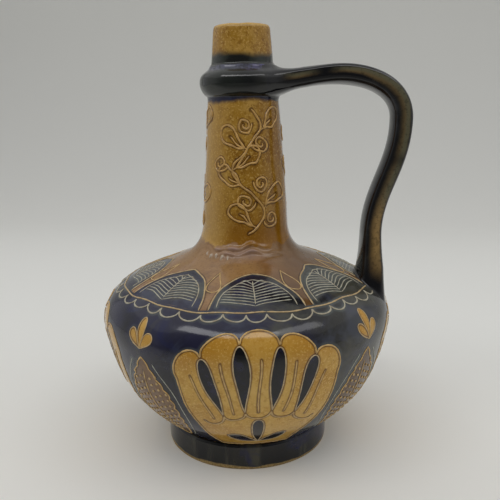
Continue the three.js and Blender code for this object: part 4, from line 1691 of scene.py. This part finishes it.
CAMERA_TURN = np.radians(8)
CAMERA_PITCH = np.radians(12.748)
CAMERA_ROLL = np.radians(0.939)
CAMERA_DISTANCE = 0.404786
CAMERA_HEIGHT = 0.220179
CAMERA_ASIDE = 0.002867
CAMERA_LENS = 45.0
CAMERA_SENSOR = 36
CAMERA_NEAR = 0.01
ROOF_PLACE = (0.0, 0.20, 0.80)
ROOF_SIZE = (2.4, 1.5)
ROOF_POWER = 2.7
SOFTBOX_POWERS = {-38: 5.2, 11: 4.3, 60: 2.8}
SOFTBOX_DISTANCE = 1.21
SOFTBOX_HEIGHT = 1.57
SOFTBOX_TARGET = (0.0, 0.0, 0.12)
SOFTBOX_SIZE = (1.12, 0.42)
ROOM_FRONT = 0.10
ROOM_SIDE = 0.47
ROOM_FADE = (-0.9, -0.1)
SWEEP_HALF_WIDTH = 1.6
SWEEP_FRONT = -1.2
SWEEP_BACK = 0.75
SWEEP_BEND = 0.45
SWEEP_TOP = 1.6
PAPER_FRONT = -0.10
PAPER_END = -0.46
PAPER_MIDDLE = 0.25
PAPER_BACK = 0.45
PAPER_DIM = srgb(140, 140, 136)
PAPER_NEAR = srgb(240, 239, 234)
PAPER_FLOOR = srgb(242, 242, 238)
PAPER_WALL = srgb(228, 228, 224)


def camera():
    """Stands in front of the jug, turned a little, tilted down and rolled slightly."""
    right = np.array([np.cos(CAMERA_TURN), np.sin(CAMERA_TURN), 0])
    level = np.array([-np.sin(CAMERA_TURN), np.cos(CAMERA_TURN), 0])
    forward = np.cos(CAMERA_PITCH) * level - np.array([0, 0, np.sin(CAMERA_PITCH)])
    up = np.cross(right, forward)
    rolled_up = np.cos(CAMERA_ROLL) * up + np.sin(CAMERA_ROLL) * right
    rolled_right = np.cross(forward, rolled_up)
    place = np.array([AXIS_X, 0, CAMERA_HEIGHT]) + CAMERA_ASIDE * right - CAMERA_DISTANCE * level
    lens = bpy.data.cameras.new("camera")
    lens.lens = CAMERA_LENS
    lens.sensor_width = CAMERA_SENSOR
    lens.clip_start = CAMERA_NEAR
    eye = bpy.data.objects.new("camera", lens)
    axes = Matrix((rolled_right, rolled_up, -forward)).transposed()
    eye.matrix_world = Matrix.Translation(Vector(place)) @ axes.to_4x4()
    bpy.context.scene.collection.objects.link(eye)
    bpy.context.scene.camera = eye


def sweep():
    """Seamless paper: floor, quarter-circle bend and wall, one profile carried straight across."""
    bend = np.radians(np.linspace(-90, 0, 24))
    curve = np.stack([SWEEP_BACK + SWEEP_BEND * np.cos(bend), SWEEP_BEND * (1 + np.sin(bend))], -1)
    profile = np.concatenate([[[SWEEP_FRONT, 0]], curve, [[SWEEP_BACK + SWEEP_BEND, SWEEP_TOP]]])
    across = np.array([-SWEEP_HALF_WIDTH, SWEEP_HALF_WIDTH])
    back, up = profile[:, :1] + 0 * across, profile[:, 1:] + 0 * across
    grid = np.stack([across + 0 * back, back, up], -1)
    start = 2 * np.arange(len(profile) - 1)
    faces = np.stack([start, start + 1, start + 3, start + 2], -1)
    mesh = bpy.data.meshes.new("sweep")
    mesh.from_pydata(grid.reshape(-1, 3), [], faces.tolist())
    mesh.shade_smooth()
    paper = Glaze("paper")
    depth = paper.node("SeparateXYZ", {0: paper.place}).outputs["Y"]
    colour = paper.mix(paper.band(depth, PAPER_FRONT, PAPER_MIDDLE), PAPER_NEAR, PAPER_FLOOR)
    colour = paper.mix(paper.band(depth, PAPER_BACK, SWEEP_BACK + SWEEP_BEND), colour, PAPER_WALL)
    colour = paper.mix(paper.band(depth, PAPER_FRONT, PAPER_END), colour, PAPER_DIM)
    mesh.materials.append(paper.finish(colour, 0.9, paper.noise(900, 2), PAPER_GRAIN))
    floor = bpy.data.objects.new("sweep", mesh)
    bpy.context.scene.collection.objects.link(floor)


def panel(name, place, target, size, power):
    """A rectangular white light that faces its target."""
    lamp = bpy.data.lights.new(name, "AREA")
    lamp.shape = "RECTANGLE"
    lamp.size, lamp.size_y = size
    lamp.energy = power
    holder = bpy.data.objects.new(name, lamp)
    holder.location = place
    holder.rotation_euler = (Vector(target) - Vector(place)).to_track_quat("-Z", "Y").to_euler()
    bpy.context.scene.collection.objects.link(holder)


def room_light():
    """World light that is dim on the camera's side of the room and brighter at the sides and behind."""
    world = bpy.data.worlds.new("room")
    world.use_nodes = True
    nodes, links = world.node_tree.nodes, world.node_tree.links
    way = nodes.new("ShaderNodeTexCoord")
    split = nodes.new("ShaderNodeSeparateXYZ")
    level = nodes.new("ShaderNodeMapRange")
    level.interpolation_type = "SMOOTHSTEP"
    level.inputs["From Min"].default_value, level.inputs["From Max"].default_value = ROOM_FADE
    level.inputs["To Min"].default_value = ROOM_FRONT
    level.inputs["To Max"].default_value = ROOM_SIDE
    links.new(way.outputs["Generated"], split.inputs[0])
    links.new(split.outputs["Y"], level.inputs["Value"])
    nodes["Background"].inputs["Color"].default_value = (1.0, 1.0, 1.0, 1.0)
    links.new(level.outputs["Result"], nodes["Background"].inputs["Strength"])
    bpy.context.scene.world = world


def studio():
    """A broad light overhead, an arc of softboxes in front, side by side, and a dim room."""
    panel("roof", ROOF_PLACE, (ROOF_PLACE[0], ROOF_PLACE[1], 0.0), ROOF_SIZE, ROOF_POWER)
    for bearing, power in SOFTBOX_POWERS.items():
        x, y = SOFTBOX_DISTANCE * heading(bearing - 90)
        panel("softbox", (x, y, SOFTBOX_HEIGHT), SOFTBOX_TARGET, SOFTBOX_SIZE, power)
    room_light()
    bpy.context.scene.view_settings.view_transform = "Standard"


build_jug()
build_slip()
camera()
sweep()
studio()
